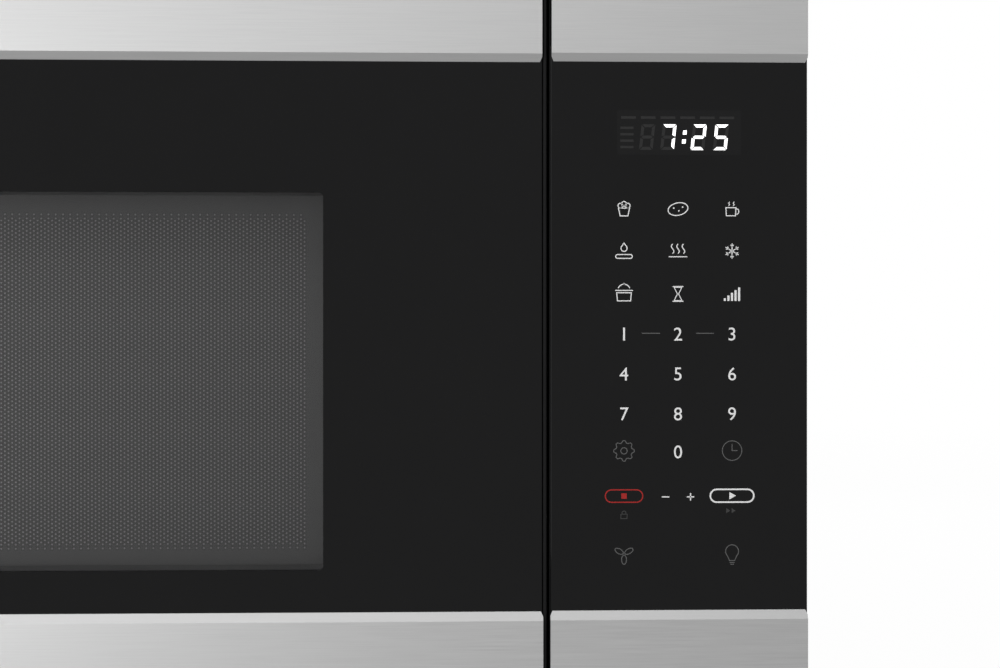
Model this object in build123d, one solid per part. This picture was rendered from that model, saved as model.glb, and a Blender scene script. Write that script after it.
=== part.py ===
from build123d import *
from math import cos, hypot, radians, sin
import os

# An over-the-range microwave, hung on a wall under a cabinet.
# Millimetres. X runs along the front to the right, Y into the wall, Z up.
# The origin is on the wall, at the middle of the unit's lower edge.

# Whole unit
unit_width = 758.0
oven_plane = 350.0  # from the wall to the front face of the oven's front frame
wall_gap = 8.0  # from the wall to the back of the rear panel
case_sheet = 1.0
case_bend = 4.0

# Wall mounting plate
wall_plate_sheet = 1.5
wall_plate_side = 14.0  # from its end to the unit's side
wall_plate_drop = 17.0  # from its top to the unit's top
lag_hole_r = 4.0
stud_pitch = 406.4
lag_row_pitch = 300.0
lag_row_low = 60.0
hook_x = 205.0
hook_width = 50.0
hook_top = 7.5
hook_lip = 14.0
bead_height = 2.5
bead_foot = 9.0  # half of a bead's width at the plate
bead_crown = 5.0  # half of its width at the top
bead_margin = 40.0  # from the plate's end to a bead's end
stud_slot_width = 7.0
stud_slot_length = 24.0
stud_slot_pitch = 60.0

# Oven
oven_side = 49.0  # from the unit's left side to the oven
oven_panel_gap = 45.0  # from the oven to the control panel
oven_floor = 52.0
oven_top_space = 75.0  # from the oven's roof to the door's top
oven_back = 16.0
oven_sheet = 1.0
oven_corner = 10.0
track_r = 112.0
track_depth = 2.0
mica_thickness = 0.5
waveguide_depth = 38.0
waveguide_length = 94.0
waveguide_height = 84.0
waveguide_y = -195.0
waveguide_drop = 68.0  # from the oven's roof to its middle
waveguide_rim = 6.0
lamp_inset = 100.0
lamp_y = -290.0
lamp_hole_r = 18.0
lamp_cup_height = 30.0

# Turntable
tray_r = 157.5
tray_glass = 4.0
tray_rim_height = 12.0
tray_flat_r = 138.0
roller_r = 8.0
roller_width = 8.0
roller_path_r = 101.0
roller_count = 3
running_gap = 0.05
rolling_gap = 0.3
axle_r = 2.0
ring_inner_r = 83.0
ring_outer_r = 92.0
ring_height = 7.0
hub_lobes = 3
hub_lobe_r = 14.0
hub_lobe_width = 8.0
hub_shaft_r = 3.5
motor_r = 25.0
motor_height = 19.0
motor_ear = 10.0
motor_ear_width = 18.0

# Door
door_gap = 1.5  # between the door's back and the oven plane
door_depth = 39.0
door_bottom = 5.0
door_height = 368.0
panel_gap = 1.6  # between the door and the control panel
band_height = 43.0
band_inset_top = 2.4  # from the upper band's end to the door's right edge
band_inset_bottom = 1.9
band_cut_width = 1.1  # of the corners cut off a band beside the glass
band_cut_height = 2.4
band_proud = 2.5  # how far a band stands out from the glass
band_sheet = 0.9
band_return = 16.0
carrier_inset = 0.5  # from a band's end to the moulding behind it
carrier_gap = 0.2  # between that moulding and the glass's edge
bevel_top = 4.1
bevel_bottom = 4.6
glass_thickness = 4.0
glass_right_inset = 2.4
glass_left_inset = 1.2
glass_lap = 8.0  # how far the glass runs under each band
rim_width = 1.9  # of the moulded rim beside the glass, at the door's free end
rim_gap = 0.1  # between the control panel's glass and the rims beside it
rim_set_back = 0.4  # a rim's face stands behind the glass's
rim_corner = 0.6
frame_wall = 3.0
frame_ribs = 4
window_side = 114.5  # from each end of the door
window_above_band = 21.6
window_below_band = 67.0
window_corner = 2.0
tunnel_wall = 2.5
tunnel_end = 29.0  # from the glass's face to the front of the choke panel
panel_sheet = 0.8
screen_lap = 6.0
screen_sheet = 0.6
inner_window_thickness = 3.0
mouth_overlap = 9.0  # how far the sealing land reaches past the oven's mouth
land_inset = 12.0
choke_width = 18.0
choke_depth = 22.5
choke_slot = 4.0
choke_slot_pitch = 24.0
choke_lip = 5.0
choke_seat_inset = 8.0  # of the frame's rib that carries the channel
cover_sheet = 2.0
cover_clearance = 0.2
pull_width = 110.0
pull_inset = 21.4  # from the door's right edge
pull_depth = 17.5
pull_height = 16.0

# Hinge, upright at the door's left end
hinge_inset = 10.0  # from the unit's side to the axis
hinge_reach = 18.0  # from the oven plane to the axis
hinge_sheet = 2.0
hinge_pin_r = 3.0
bush_wall = 2.0
bush_depth = 12.0
bush_flange_r = 6.0
bush_play = 0.05
hinge_leaf = 42.0
hinge_arm_width = 24.0
hinge_arm_gap = 1.0  # between the door and each arm

# Latch, at the door's right end
latch_inset = 10.4  # from the door's right edge to the bar's middle
latch_bar_width = 6.0
latch_bar_depth = 10.0
latch_bar_front = 378.5
latch_rise = 113.0  # from the door's lower edge to the lower hook
latch_drop = 117.0  # from the door's upper edge to the upper hook
latch_arm_height = 8.0
latch_arm_thickness = 4.0
latch_barb = 4.5
latch_barb_length = 4.0
latch_play = 0.6  # between the front frame's back and each hook's barb
latch_travel = 5.0
latch_reach = 332.0  # from the wall to the hooks' tips
slot_clearance = 0.8
guide_clearance = 0.4
spring_r = 3.0
spring_wire_r = 0.5
spring_turns = 5
spring_length = 20.0
switch_width = 10.3
switch_height = 28.0
switch_depth = 15.9
switch_face = 323.0
plunger_r = 1.75
plunger_travel = 1.5
plunger_depth = 6.0  # of its end inside the switch, at rest

# Control panel
panel_width = 134.0
panel_set_back = 2.5  # the panel's faces stand behind the door's
panel_side_inset = 0.4  # from the unit's side to the control panel's right side
panel_glass_inset_left = 0.7
panel_glass_inset_right = 0.6
panel_glass_rise = 0.8  # its upper edge line stands above the door's
panel_band_inset_top = 1.0  # from the control panel's left side
panel_band_inset_bottom = 0.4
display_inset = 35.0  # from the control panel's left edge
display_width = 64.0
display_drop = 24.0  # from the upper band to the display's top
display_height = 23.0
housing_boss_inset = 18.0
housing_boss_r = 3.5
board_gap = 11.0
board_margin = 10.0
board_rise = 50.0  # from the panel's lower edge to the board
board_drop = 21.0  # from the board to the panel's upper edge
card_gap = 4.0
card_thickness = 1.6
relay_count = 3
relay_pitch = 24.0
relay_rise = 15.0
relay_width = 18.0
relay_height = 24.0
relay_depth = 12.0

# Vent grille over the door
grille_gap = 4.0
grille_height = 40.0
grille_front = 388.0
grille_wall = 2.0
grille_margin = 12.0
louvre_count = 4
louvre_thickness = 1.6
louvre_depth = 12.0
louvre_tilt = 25.0
grille_bays = 8

# Blower
blower_y = -110.0
blower_rise = 60.0  # from the oven's roof to the shaft
wheel_r = 44.0
wheel_inner_r = 36.0
wheel_length = 66.0
wheel_start = 51.0
blade_count = 36
blade_thickness = 1.0
blower_shaft_r = 4.0
scroll_start = 45.0
scroll_end = 125.0
scroll_gap = 4.0
scroll_growth = 8.0
scroll_wall = 1.0
inlet_r = 34.0
motor_half = 38.0
blower_motor_r = 35.0
blower_foot_sheet = 1.5

# Exhaust collar on the top, for a duct of 3 1/4 by 10 inches
duct_width = 254.0
duct_depth = 82.5
duct_back = 20.0
collar_height = 24.0
collar_flange = 9.0
flap_gap = 2.5
flap_sheet = 0.8
flap_pin_r = 1.5
flap_z = 7.5  # above the flange

# Underside
filter_width = 194.0
filter_depth = 127.0
filter_thickness = 3.0
filter_lap = 5.0
filter_travel = 8.0
filter_y = -190.0
filter_inset = 179.0  # from the unit's side to the left filter's middle
filter_lip = 5.0  # how far a guide's lip reaches over the filter
filter_clearance = 0.5  # between its edges and the guides
guide_sheet = 1.0
lens_width = 84.0
lens_depth = 40.0
lens_thickness = 2.5
lens_corner = 5.0
lens_rim = 4.0  # how far a lens and its lamp box reach past the opening
lens_clearance = 0.2
lens_y = -300.0
intake_slots = 9
intake_pitch = 10.0
intake_slot_width = 4.0
intake_slot_length = 60.0
intake_inset = 15.0  # from the control panel's left edge to the first slot
intake_y = -280.0
base_flange = 12.0
plenum_post = 18.0
lamp_box_sheet = 1.0
lamp_diode_pitch = 24.0
lamp_diode_size = 6.0

# Charcoal filter
charcoal_width = 300.0
charcoal_thickness = 20.0
charcoal_height = 34.0

# Works in the right compartment
fan_inset = 45.0
fan_z = 200.0
fan_y = -50.0
fan_r = 49.0
fan_hub_r = 14.0
fan_blade_count = 5
fan_shaft_r = 2.5
fan_shaft_length = 20.0  # behind the shroud's face
fan_chord = 26.0
fan_blade = 1.4
fan_pitch_angle = 32.0
fan_motor_r = 21.0
fan_motor_length = 27.0
fan_bar_sheet = 2.0
fan_bar_width = 12.0
shroud_low = 100.0
shroud_high = 300.0
magnetron_fins = 8
magnetron_fin_pitch = 5.0
magnetron_length = 60.0  # of its yoke
magnetron_width = 76.0
magnetron_height = 72.0
magnetron_sheet = 2.0
magnetron_anode_r = 17.0
magnetron_antenna = 24.0
magnetron_antenna_r = 7.5
magnet_r = 26.0
magnet_height = 10.0
core_inset = 40.0
core_y = -100.0
core_width = 100.0
core_depth = 60.0
core_height = 84.0
core_foot = 2.0
core_yoke = 16.0
core_window = 16.0
winding_clearance = 0.5
capacitor_inset = 61.0
capacitor_y = -200.0
capacitor_width = 52.0
capacitor_depth = 32.0
capacitor_height = 88.0
terminal_spread = 11.0
terminal_height = 10.0
terminal_base_r = 5.0
diode_offset = 40.0  # from the capacitor's middle to the diode's
diode_length = 22.0
diode_r = 4.0
diode_lead = 19.0
diode_lug_r = 5.0

# Fasteners and holes
screw_r = 1.9
screw_hole_r = 2.0
screw_head_r = 4.0
screw_head = 2.0
screw_length = 6.0
cabinet_bolt_r = 3.175
cabinet_bolt_pitch = 457.2
cabinet_bolt_y = -300.0
cabinet_collar = 5.0
cord_hole_r = 11.0
cord_bore_r = 8.0
cord_inset = 49.0
cord_y = -60.0

# Places that follow from the sizes above
half = unit_width / 2
inside = half - case_sheet
y_oven = -oven_plane
y_sheet = y_oven + oven_sheet
y_rear = -wall_gap - case_sheet
door_top = door_bottom + door_height
unit_height = door_top + grille_gap + grille_height
wall_plate_width = unit_width - 2 * wall_plate_side
wall_plate_height = unit_height - wall_plate_drop
panel_left = half - panel_width
door_right = panel_left - panel_gap
glass_right = door_right - glass_right_inset
oven_left = -half + oven_side
oven_right = panel_left - oven_panel_gap
oven_roof = door_top - oven_top_space
waveguide_z = oven_roof - waveguide_drop
lamp_x = oven_left + lamp_inset
glass_low = door_bottom + band_height
glass_high = door_top - band_height
y_door_back = y_oven - door_gap
y_door_face = y_door_back - door_depth
y_glass = y_door_face + band_proud
y_glass_back = y_glass + glass_thickness
y_web = y_glass_back + frame_wall
window_left = -half + window_side
window_right = door_right - window_side
window_low = glass_low + window_above_band
window_high = glass_high - window_below_band
pull_right = door_right - pull_inset
pull_left = pull_right - pull_width
latch_x = door_right - latch_inset
latch_low = door_bottom + latch_rise
latch_high = door_top - latch_drop
y_tunnel = y_glass + tunnel_end
y_screen = y_tunnel + panel_sheet
hinge_x = -half + hinge_inset
hinge_y = y_oven - hinge_reach
y_panel_face = y_door_face + panel_set_back
y_panel_glass = y_panel_face + band_proud
y_panel_glass_back = y_panel_glass + glass_thickness
y_panel_web = y_panel_glass_back + frame_wall
turntable_x = (oven_left + oven_right) / 2
turntable_y = -(oven_plane - oven_sheet + oven_back) / 2
track_z = oven_floor - track_depth
tray_z = track_z + 2 * roller_r + 2 * rolling_gap
grille_low = door_top + grille_gap
panel_glass_left = panel_left + panel_glass_inset_left
panel_right = half - panel_side_inset
panel_glass_right = panel_right - panel_glass_inset_right
panel_glass_high = glass_high + panel_glass_rise
display_left = panel_left + display_inset
display_right = display_left + display_width
display_high = glass_high - display_drop
display_low = display_high - display_height
board_low = door_bottom + board_rise
board_high = door_top - board_drop
blower_z = oven_roof + blower_rise
left_filter_x = filter_inset - half
right_filter_x = 2 * turntable_x - left_filter_x
left_lens_x = left_filter_x
right_lens_x = right_filter_x
intake_x = panel_left + intake_inset
fan_x = panel_left + fan_inset
core_x = panel_left + core_inset
capacitor_x = panel_left + capacitor_inset
cord_x = half - cord_inset
y_choke = y_door_back - choke_depth
choke_land = [
    oven_left - mouth_overlap,
    oven_right + mouth_overlap,
    oven_floor - mouth_overlap,
    oven_roof + mouth_overlap,
]
choke_outer = [
    choke_land[0] - choke_width,
    choke_land[1] + choke_width,
    choke_land[2] - choke_width,
    choke_land[3] + choke_width,
]
flap_y = -duct_back - case_sheet - flap_gap
flap_height = unit_height + flap_z


def block(x0, x1, y0, y1, z0, z1):
    """A box between two corners."""
    return Pos((x0 + x1) / 2, (y0 + y1) / 2, (z0 + z1) / 2) * Box(x1 - x0, y1 - y0, z1 - z0)


def rounded(width, height, radius):
    return RectangleRounded(width, height, radius) if radius > 0 else Rectangle(width, height)


def slab(x0, x1, z0, z1, y0, y1, radius=0.0):
    """An upright plate facing the front, between y0 and y1, with rounded corners."""
    plane = Plane(((x0 + x1) / 2, y1, (z0 + z1) / 2), x_dir=(1, 0, 0), z_dir=(0, -1, 0))
    return extrude(plane * rounded(x1 - x0, z1 - z0, radius), y1 - y0)


def deck(x0, x1, y0, y1, z0, z1, radius=0.0):
    """A level plate between z0 and z1, with rounded corners."""
    return extrude(Pos((x0 + x1) / 2, (y0 + y1) / 2, z0) * rounded(x1 - x0, y1 - y0, radius), z1 - z0)


def cheek(y0, y1, z0, z1, x0, x1, radius=0.0):
    """An upright plate facing the side, between x0 and x1, with rounded corners."""
    plane = Plane((x0, (y0 + y1) / 2, (z0 + z1) / 2), x_dir=(0, 1, 0), z_dir=(1, 0, 0))
    return extrude(plane * rounded(y1 - y0, z1 - z0, radius), x1 - x0)


def rod(start, direction, length, radius):
    """A round bar from a point, along an axis direction."""
    return extrude(Plane(start, z_dir=direction) * Circle(radius), length)


def post(x, y, z0, z1, radius):
    return rod((x, y, z0), (0, 0, 1), z1 - z0, radius)


def pierce(x, z, y0, y1, radius):
    """A round bar along Y between y0 and y1, mostly used to cut a hole."""
    return rod((x, y0, z), (0, 1, 0), y1 - y0, radius)


def spindle(y, z, x0, x1, radius):
    return rod((x0, y, z), (1, 0, 0), x1 - x0, radius)


def section(corners):
    """A closed face through corners (u, v, radius)."""
    points = [(u, v) for u, v, _ in corners]
    return make_face(FilletPolyline(*points, radius=[r for _, _, r in corners], close=True))


def along_x(corners, x0, x1):
    """A bar along X whose section is given as (y, z, radius) corners."""
    plane = Plane((x0, 0, 0), x_dir=(0, 1, 0), z_dir=(1, 0, 0))
    return extrude(plane * section(corners), x1 - x0)


def upright(corners, z0, z1):
    """A column whose plan is given as (x, y, radius) corners."""
    return extrude(Pos(0, 0, z0) * section(corners), z1 - z0)


def mirror_x(shape):
    return mirror(shape, Plane.YZ)


# Wall side and casing


def wall_hook(x):
    """A tab folded forward out of the wall plate, with a lip that keeps the unit from lifting off."""
    low = hook_top - wall_plate_sheet
    reach = y_rear - wall_plate_sheet - 1.0
    tab = block(x - hook_width / 2, x + hook_width / 2, reach, -wall_plate_sheet, low, hook_top)
    lip_top = hook_top + hook_lip
    lip = block(x - hook_width / 2, x + hook_width / 2, reach, reach + wall_plate_sheet, low, lip_top)
    return tab + lip


def lag_holes():
    return [
        (x, lag_row_low + row * lag_row_pitch)
        for x in (-stud_pitch / 2, 0.0, stud_pitch / 2)
        for row in (0, 1)
    ]


def bead(z, foot_y, foot, crown):
    """A bead's side view about the height z: two slopes that rise from foot_y to a flat crown."""
    crown_y = foot_y - bead_height
    slopes = [(foot_y, z - foot), (crown_y, z - crown), (crown_y, z + crown), (foot_y, z + foot)]
    return [(y, level, 0) for y, level in slopes]


def stud_slots():
    """Slots along the plate's middle line, for a stud that misses the round holes."""
    z = lag_row_low + lag_row_pitch / 2
    count = int((wall_plate_width / 2 - bead_margin) / stud_slot_pitch)
    line = Plane((0, 1, z), x_dir=(1, 0, 0), z_dir=(0, -1, 0))
    slot = extrude(line * SlotOverall(stud_slot_length, stud_slot_width), 2 * wall_plate_sheet + 1)
    return [Pos(n * stud_slot_pitch, 0, 0) * slot for n in range(-count, count + 1)]


def make_wall_plate():
    """A pressed plate with two hollow beads along it, screw holes at the studs, and a row of slots."""
    edge = wall_plate_width / 2
    end = edge - bead_margin
    sheet = wall_plate_sheet
    run = bead_foot - bead_crown
    thinning = sheet * (hypot(run, bead_height) - run) / bead_height
    plate = slab(-edge, edge, 0, wall_plate_height, -sheet, 0, 6)
    for share in (0.25, 0.75):
        z = lag_row_low + lag_row_pitch * share
        plate += along_x(bead(z, -sheet, bead_foot, bead_crown), -end, end)
        groove = bead(z, 0, bead_foot - thinning, bead_crown - thinning)
        plate -= along_x(groove, sheet - end, end - sheet)
    for x, z in lag_holes():
        plate -= pierce(x, z, -2 * sheet, 1, lag_hole_r)
    plate -= stud_slots()
    return plate + wall_hook(-hook_x) + wall_hook(hook_x)


def case_screw_places():
    levels = (lag_row_low, unit_height / 2, unit_height - lag_row_low)
    sides = [(side * (half - base_flange / 2 - case_sheet), z) for side in (-1, 1) for z in levels]
    top = unit_height - base_flange / 2 - case_sheet
    return sides + [(side * stud_pitch / 2, top) for side in (-1, 1)]


def make_rear_panel():
    panel = slab(
        -inside, inside, 0, unit_height - case_sheet, y_rear, -wall_gap, case_bend - case_sheet
    )
    for x in (-hook_x, hook_x):
        panel -= block(x - hook_width / 2 - 1, x + hook_width / 2 + 1, y_rear - 1, 0, -1, hook_top)
    for x, z in case_screw_places():
        panel -= pierce(x, z, y_rear - 1, 0, screw_hole_r)
    return panel


def make_outer_case():
    """Sides and top in one folded sheet, with a narrow flange turned in at the rear."""
    profile = [
        (-half, 0, 0),
        (-half, unit_height, case_bend),
        (half, unit_height, case_bend),
        (half, 0, 0),
    ]
    inner = [
        (-inside, -1, 0),
        (-inside, unit_height - case_sheet, case_bend - case_sheet),
        (inside, unit_height - case_sheet, case_bend - case_sheet),
        (inside, -1, 0),
    ]
    front = Plane((0, -wall_gap, 0), x_dir=(1, 0, 0), z_dir=(0, -1, 0))
    depth = oven_plane - oven_sheet - wall_gap
    case = extrude(front * section(profile), depth) - extrude(front * section(inner), depth)
    flange = slab(
        -inside, inside, base_flange + case_sheet, unit_height - case_sheet, y_rear - case_sheet, y_rear
    )
    flange -= slab(
        -inside + base_flange, inside - base_flange, 0, unit_height - base_flange, y_rear - 2, y_rear + 1
    )
    case += flange
    for x, z in case_screw_places():
        case -= pierce(x, z, y_rear - 3, y_rear + 0.01, screw_hole_r)
    case -= deck(
        -duct_width / 2 + case_sheet,
        duct_width / 2 - case_sheet,
        -duct_back - duct_depth + case_sheet,
        -duct_back - case_sheet,
        unit_height - 3,
        unit_height + 1,
    )
    case -= post(cord_x, cord_y, unit_height - 3, unit_height + 1, cord_hole_r)
    for x in (-cabinet_bolt_pitch / 2, cabinet_bolt_pitch / 2):
        case += post(x, cabinet_bolt_y, unit_height - cabinet_collar, unit_height - case_sheet, 6)
        case -= post(x, cabinet_bolt_y, unit_height - 9, unit_height + 1, cabinet_bolt_r)
    return case


def filter_opening(x):
    lap = filter_lap
    return deck(
        x - filter_width / 2 + lap,
        x + filter_width / 2 - lap,
        filter_y - filter_depth / 2 + lap,
        filter_y + filter_depth / 2 - lap,
        -1,
        case_sheet + 1,
        4,
    )


def filter_guides(x):
    """Two lips over the front and rear edges of a filter, in which it slides sideways."""
    top = case_sheet + filter_thickness + rolling_gap
    high = top + guide_sheet
    left = x - filter_width / 2
    right = x + filter_width / 2 + filter_travel
    front = filter_y - filter_depth / 2 - filter_clearance
    rear = filter_y + filter_depth / 2 + filter_clearance
    guides = block(left, right, front - guide_sheet, front, case_sheet, high)
    guides += block(left, right, front, front + filter_lip, top, high)
    guides += block(left, right, rear, rear + guide_sheet, case_sheet, high)
    return guides + block(left, right, rear - filter_lip, rear, top, high)


def lens_plate(x, margin, z0, z1, corner):
    """A level plate of a lens's size with a margin round it."""
    width = lens_width / 2 + margin
    depth = lens_depth / 2 + margin
    return deck(x - width, x + width, lens_y - depth, lens_y + depth, z0, z1, corner)


def make_base_plate():
    """The underside sheet, with its edges turned up and openings for filters, lamps and cooling air."""
    rear = y_rear - case_sheet
    base = block(-inside, inside, y_sheet, rear, 0, case_sheet)
    for side in (-1, 1):
        x = side * (inside - case_sheet / 2)
        base += block(
            x - case_sheet / 2, x + case_sheet / 2, y_sheet, rear - base_flange, case_sheet, base_flange
        )
    hinge_room = -half + hinge_inset + hinge_arm_width
    base += block(-inside, inside, y_sheet, y_sheet + case_sheet, case_sheet, base_flange)
    base -= block(-inside - 1, hinge_room, y_sheet - 1, y_sheet + 5, case_sheet, base_flange + 1)
    for x in (left_filter_x, right_filter_x):
        base -= filter_opening(x)
        base += filter_guides(x)
    for x in (left_lens_x, right_lens_x):
        base -= lens_plate(x, 0, -1, 3, lens_corner)
    slot = intake_slot_width / 2
    reach = intake_slot_length / 2
    for n in range(intake_slots):
        x = intake_x + n * intake_pitch
        base -= deck(x - slot, x + slot, intake_y - reach, intake_y + reach, -1, 3, slot - 0.1)
    return base


def make_case_screws():
    screws = []
    for x, z in case_screw_places():
        head = pierce(x, z, -wall_gap, -wall_gap + screw_head, screw_head_r)
        screws.append(head + pierce(x, z, -wall_gap - screw_length, -wall_gap, screw_r))
    return Compound(children=screws)


def make_cord_grommet():
    """An empty grommet in the top: the place where a supply cord leaves."""
    body = post(cord_x, cord_y, unit_height - 3, unit_height, cord_hole_r - 0.05)
    body += post(cord_x, cord_y, unit_height, unit_height + 2, cord_hole_r + 3)
    body += post(cord_x, cord_y, unit_height - 3, unit_height - 1.2, cord_hole_r + 2)
    return body - post(cord_x, cord_y, unit_height - 5, unit_height + 5, cord_bore_r)


# Oven


def make_oven_cavity():
    """The welded liner: five walls, a pressed track for the rollers, and its openings."""
    s = oven_sheet
    y_back = -oven_back
    shell = grow([oven_left, oven_right, oven_floor, oven_roof], s)
    liner = slab(*shell, y_sheet, y_back + s, oven_corner + s)
    liner += post(turntable_x, turntable_y, track_z - s, oven_floor, track_r + s)
    liner -= slab(oven_left, oven_right, oven_floor, oven_roof, y_sheet - 1, y_back, oven_corner)
    liner -= post(turntable_x, turntable_y, track_z, oven_floor + 1, track_r)
    liner -= post(turntable_x, turntable_y, track_z - 5, track_z + 1, hub_shaft_r + 4.5)
    liner -= cheek(
        waveguide_y - waveguide_length / 2 + waveguide_rim,
        waveguide_y + waveguide_length / 2 - waveguide_rim,
        waveguide_z - waveguide_height / 2 + waveguide_rim,
        waveguide_z + waveguide_height / 2 - waveguide_rim,
        oven_right - 1,
        oven_right + s + 1,
    )
    liner -= post(lamp_x, lamp_y, oven_roof - 1, oven_roof + s + 1, lamp_hole_r)
    return liner


def make_front_plate():
    """The oven's front frame, with the mouth, two latch slots and a slot for the upper hinge arm."""
    top = grille_low - case_sheet
    right = panel_left + 1
    plate = slab(-inside, right, door_bottom - 0.5, top + case_sheet, y_oven, y_sheet)
    plate -= slab(oven_left, oven_right, oven_floor, oven_roof, y_oven - 1, y_sheet + 1, oven_corner)
    shelf = charcoal_thickness + 11
    plate += block(-inside, right, y_sheet, y_sheet + shelf, top, top + case_sheet)
    for z in (latch_low, latch_high):
        low = z - latch_arm_height / 2 - slot_clearance
        high = z + latch_arm_height / 2 + latch_travel + slot_clearance
        x = latch_arm_thickness / 2 + slot_clearance
        plate -= block(latch_x - x, latch_x + x, y_oven - 1, y_sheet + 1, low, high)
    arm_left = hinge_x - hinge_arm_width / 3 - 0.5
    arm = upper_arm_span()
    plate -= block(
        arm_left, arm_left + hinge_arm_width + 1, y_oven - 1, y_sheet + 1, arm[0] - 0.2, arm[1] + 0.2
    )
    return plate


def make_waveguide():
    """The duct that carries microwaves from the magnetron into the oven's right wall."""
    y0 = waveguide_y - waveguide_length / 2
    y1 = waveguide_y + waveguide_length / 2
    z0 = waveguide_z - waveguide_height / 2
    z1 = waveguide_z + waveguide_height / 2
    x0 = oven_right + oven_sheet
    x1 = x0 + waveguide_depth
    duct = block(x0, x1, y0, y1, z0, z1)
    duct -= block(x0 - 1, x1 - 1, y0 + 1, y1 - 1, z0 + 1, z1 - 1)
    return duct - spindle(waveguide_y, waveguide_z, x1 - 3, x1 + 1, 10)


def make_waveguide_cover():
    x1 = oven_right
    return cheek(
        waveguide_y - waveguide_length / 2 - 2,
        waveguide_y + waveguide_length / 2 + 2,
        waveguide_z - waveguide_height / 2,
        waveguide_z + waveguide_height / 2,
        x1 - mica_thickness,
        x1,
        4,
    )


def make_cavity_lamp():
    """A glass lens in the roof, under a flanged cup that holds the lamp."""
    top = oven_roof + oven_sheet
    lens = post(lamp_x, lamp_y, oven_roof, top, lamp_hole_r - 0.1)
    cup = post(lamp_x, lamp_y, top, top + 1.5, lamp_hole_r + 6)
    cup += post(lamp_x, lamp_y, top, top + lamp_cup_height, lamp_hole_r - 2)
    cup -= post(lamp_x, lamp_y, top, top + lamp_cup_height - 2, lamp_hole_r - 4)
    return lens + cup


def make_turntable_motor():
    """A flat synchronous motor under the oven floor, on its ears."""
    top = track_z - oven_sheet
    motor = post(turntable_x, turntable_y, top - 1 - motor_height, top - 1, motor_r)
    ear = motor_r + motor_ear
    side = motor_ear_width / 2
    motor += deck(
        turntable_x - ear, turntable_x + ear, turntable_y - side, turntable_y + side, top - 1, top, 4
    )
    return motor - post(turntable_x, turntable_y, top - 14, top + 1, hub_shaft_r + running_gap)


def lobe(inner, outer, width, z0, z1, angle):
    shape = block(inner, outer, -width / 2, width / 2, z0, z1)
    return Pos(turntable_x, turntable_y, 0) * Rot(0, 0, angle) * shape


def make_turntable_coupler():
    """The hub with three lobes that turns the tray, on its shaft into the motor."""
    low = oven_floor - 1.0
    hub = post(turntable_x, turntable_y, low, tray_z, 7)
    for n in range(hub_lobes):
        hub += lobe(0, hub_lobe_r, hub_lobe_width, low + 4, tray_z, n * 360 / hub_lobes)
    return hub + post(turntable_x, turntable_y, track_z - oven_sheet - 13, low, hub_shaft_r)


def make_glass_tray():
    """The round tray: a flat floor, a raised rim, and three dogs under it for the hub."""
    rim = tray_z + tray_rim_height
    profile = [
        (0, tray_z, 0),
        (tray_flat_r, tray_z, 6),
        (tray_r - 4, rim - tray_glass, 3),
        (tray_r, rim - tray_glass + 1, 0),
        (tray_r, rim, 1),
        (tray_r - 7, rim, 1.5),
        (tray_flat_r - 3, tray_z + tray_glass, 6),
        (0, tray_z + tray_glass, 0),
    ]
    tray = Pos(turntable_x, turntable_y, 0) * revolve(Plane.XZ * section(profile), Axis.Z)
    half_angle = 180 / hub_lobes
    for n in range(hub_lobes):
        angle = half_angle + n * 360 / hub_lobes
        tray += lobe(hub_lobe_r - 5, hub_lobe_r + 4, 7, tray_z - 5, tray_z, angle)
    return tray


def roller_angle(n):
    return 90 + n * 360 / roller_count


def around_turntable(shape, n):
    centre = Pos(turntable_x, turntable_y, track_z + rolling_gap + roller_r)
    return centre * Rot(0, 0, roller_angle(n)) * shape


def make_roller_ring():
    """The plastic ring that carries three rollers on radial pins."""
    low = -ring_height / 2
    ring = extrude(Pos(0, 0, low) * (Circle(ring_outer_r) - Circle(ring_inner_r)), ring_height)
    ring = Pos(turntable_x, turntable_y, track_z + rolling_gap + roller_r) * ring
    inner = roller_path_r - roller_width / 2 - 0.5
    outer = roller_path_r + roller_width / 2 + 0.5
    for n in range(roller_count):
        collar = rod((ring_outer_r - 1, 0, 0), (1, 0, 0), inner - ring_outer_r + 1, 3.2)
        pin = rod((inner, 0, 0), (1, 0, 0), outer - inner, axle_r)
        cap = rod((outer, 0, 0), (1, 0, 0), 1.5, 3.0)
        ring += around_turntable(collar + pin + cap, n)
    return ring


def make_roller(n):
    wheel = rod((roller_path_r - roller_width / 2, 0, 0), (1, 0, 0), roller_width, roller_r)
    wheel -= rod((roller_path_r - roller_width, 0, 0), (1, 0, 0), 2 * roller_width, axle_r + running_gap)
    return around_turntable(wheel, n)


# Door


def band_section(face, low, high, bevel, glass_side):
    """A folded steel trim: a bevel down to the glass, the face, and a return over the door's edge."""
    t = band_sheet
    foot = face + band_proud
    back = face + band_return
    if glass_side == "low":
        return [
            (foot, low, 0),
            (face, low + bevel, 0.3),
            (face, high, 1.4),
            (back, high, 0),
            (back, high - t, 0),
            (face + t, high - t, 0),
            (face + t, low + bevel + 0.4, 0),
            (foot, low + 1.4, 0),
        ]
    return [
        (foot, high, 0),
        (face, high - bevel, 0.3),
        (face, low, 1.4),
        (back, low, 0),
        (back, low + t, 0),
        (face + t, low + t, 0),
        (face + t, high - bevel - 0.4, 0),
        (foot, high - 1.4, 0),
    ]


def band(x0, x1, face, low, high, bevel, glass_side):
    """A band from x0 to x1, with its two corners beside the glass cut off."""
    bar = along_x(band_section(face, low, high, bevel, glass_side), x0, x1)
    edge, away = (low, 1) if glass_side == "low" else (high, -1)
    back = Plane((0, face + band_return, 0), x_dir=(1, 0, 0), z_dir=(0, -1, 0))
    for x, inward in ((x0, 1), (x1, -1)):
        corner = [
            (x - inward, edge - away, 0),
            (x + inward * band_cut_width, edge - away, 0),
            (x + inward * band_cut_width, edge, 0),
            (x, edge + away * band_cut_height, 0),
            (x - inward, edge + away * band_cut_height, 0),
        ]
        bar -= extrude(back * section(corner), band_return + 1)
    return bar


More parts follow.
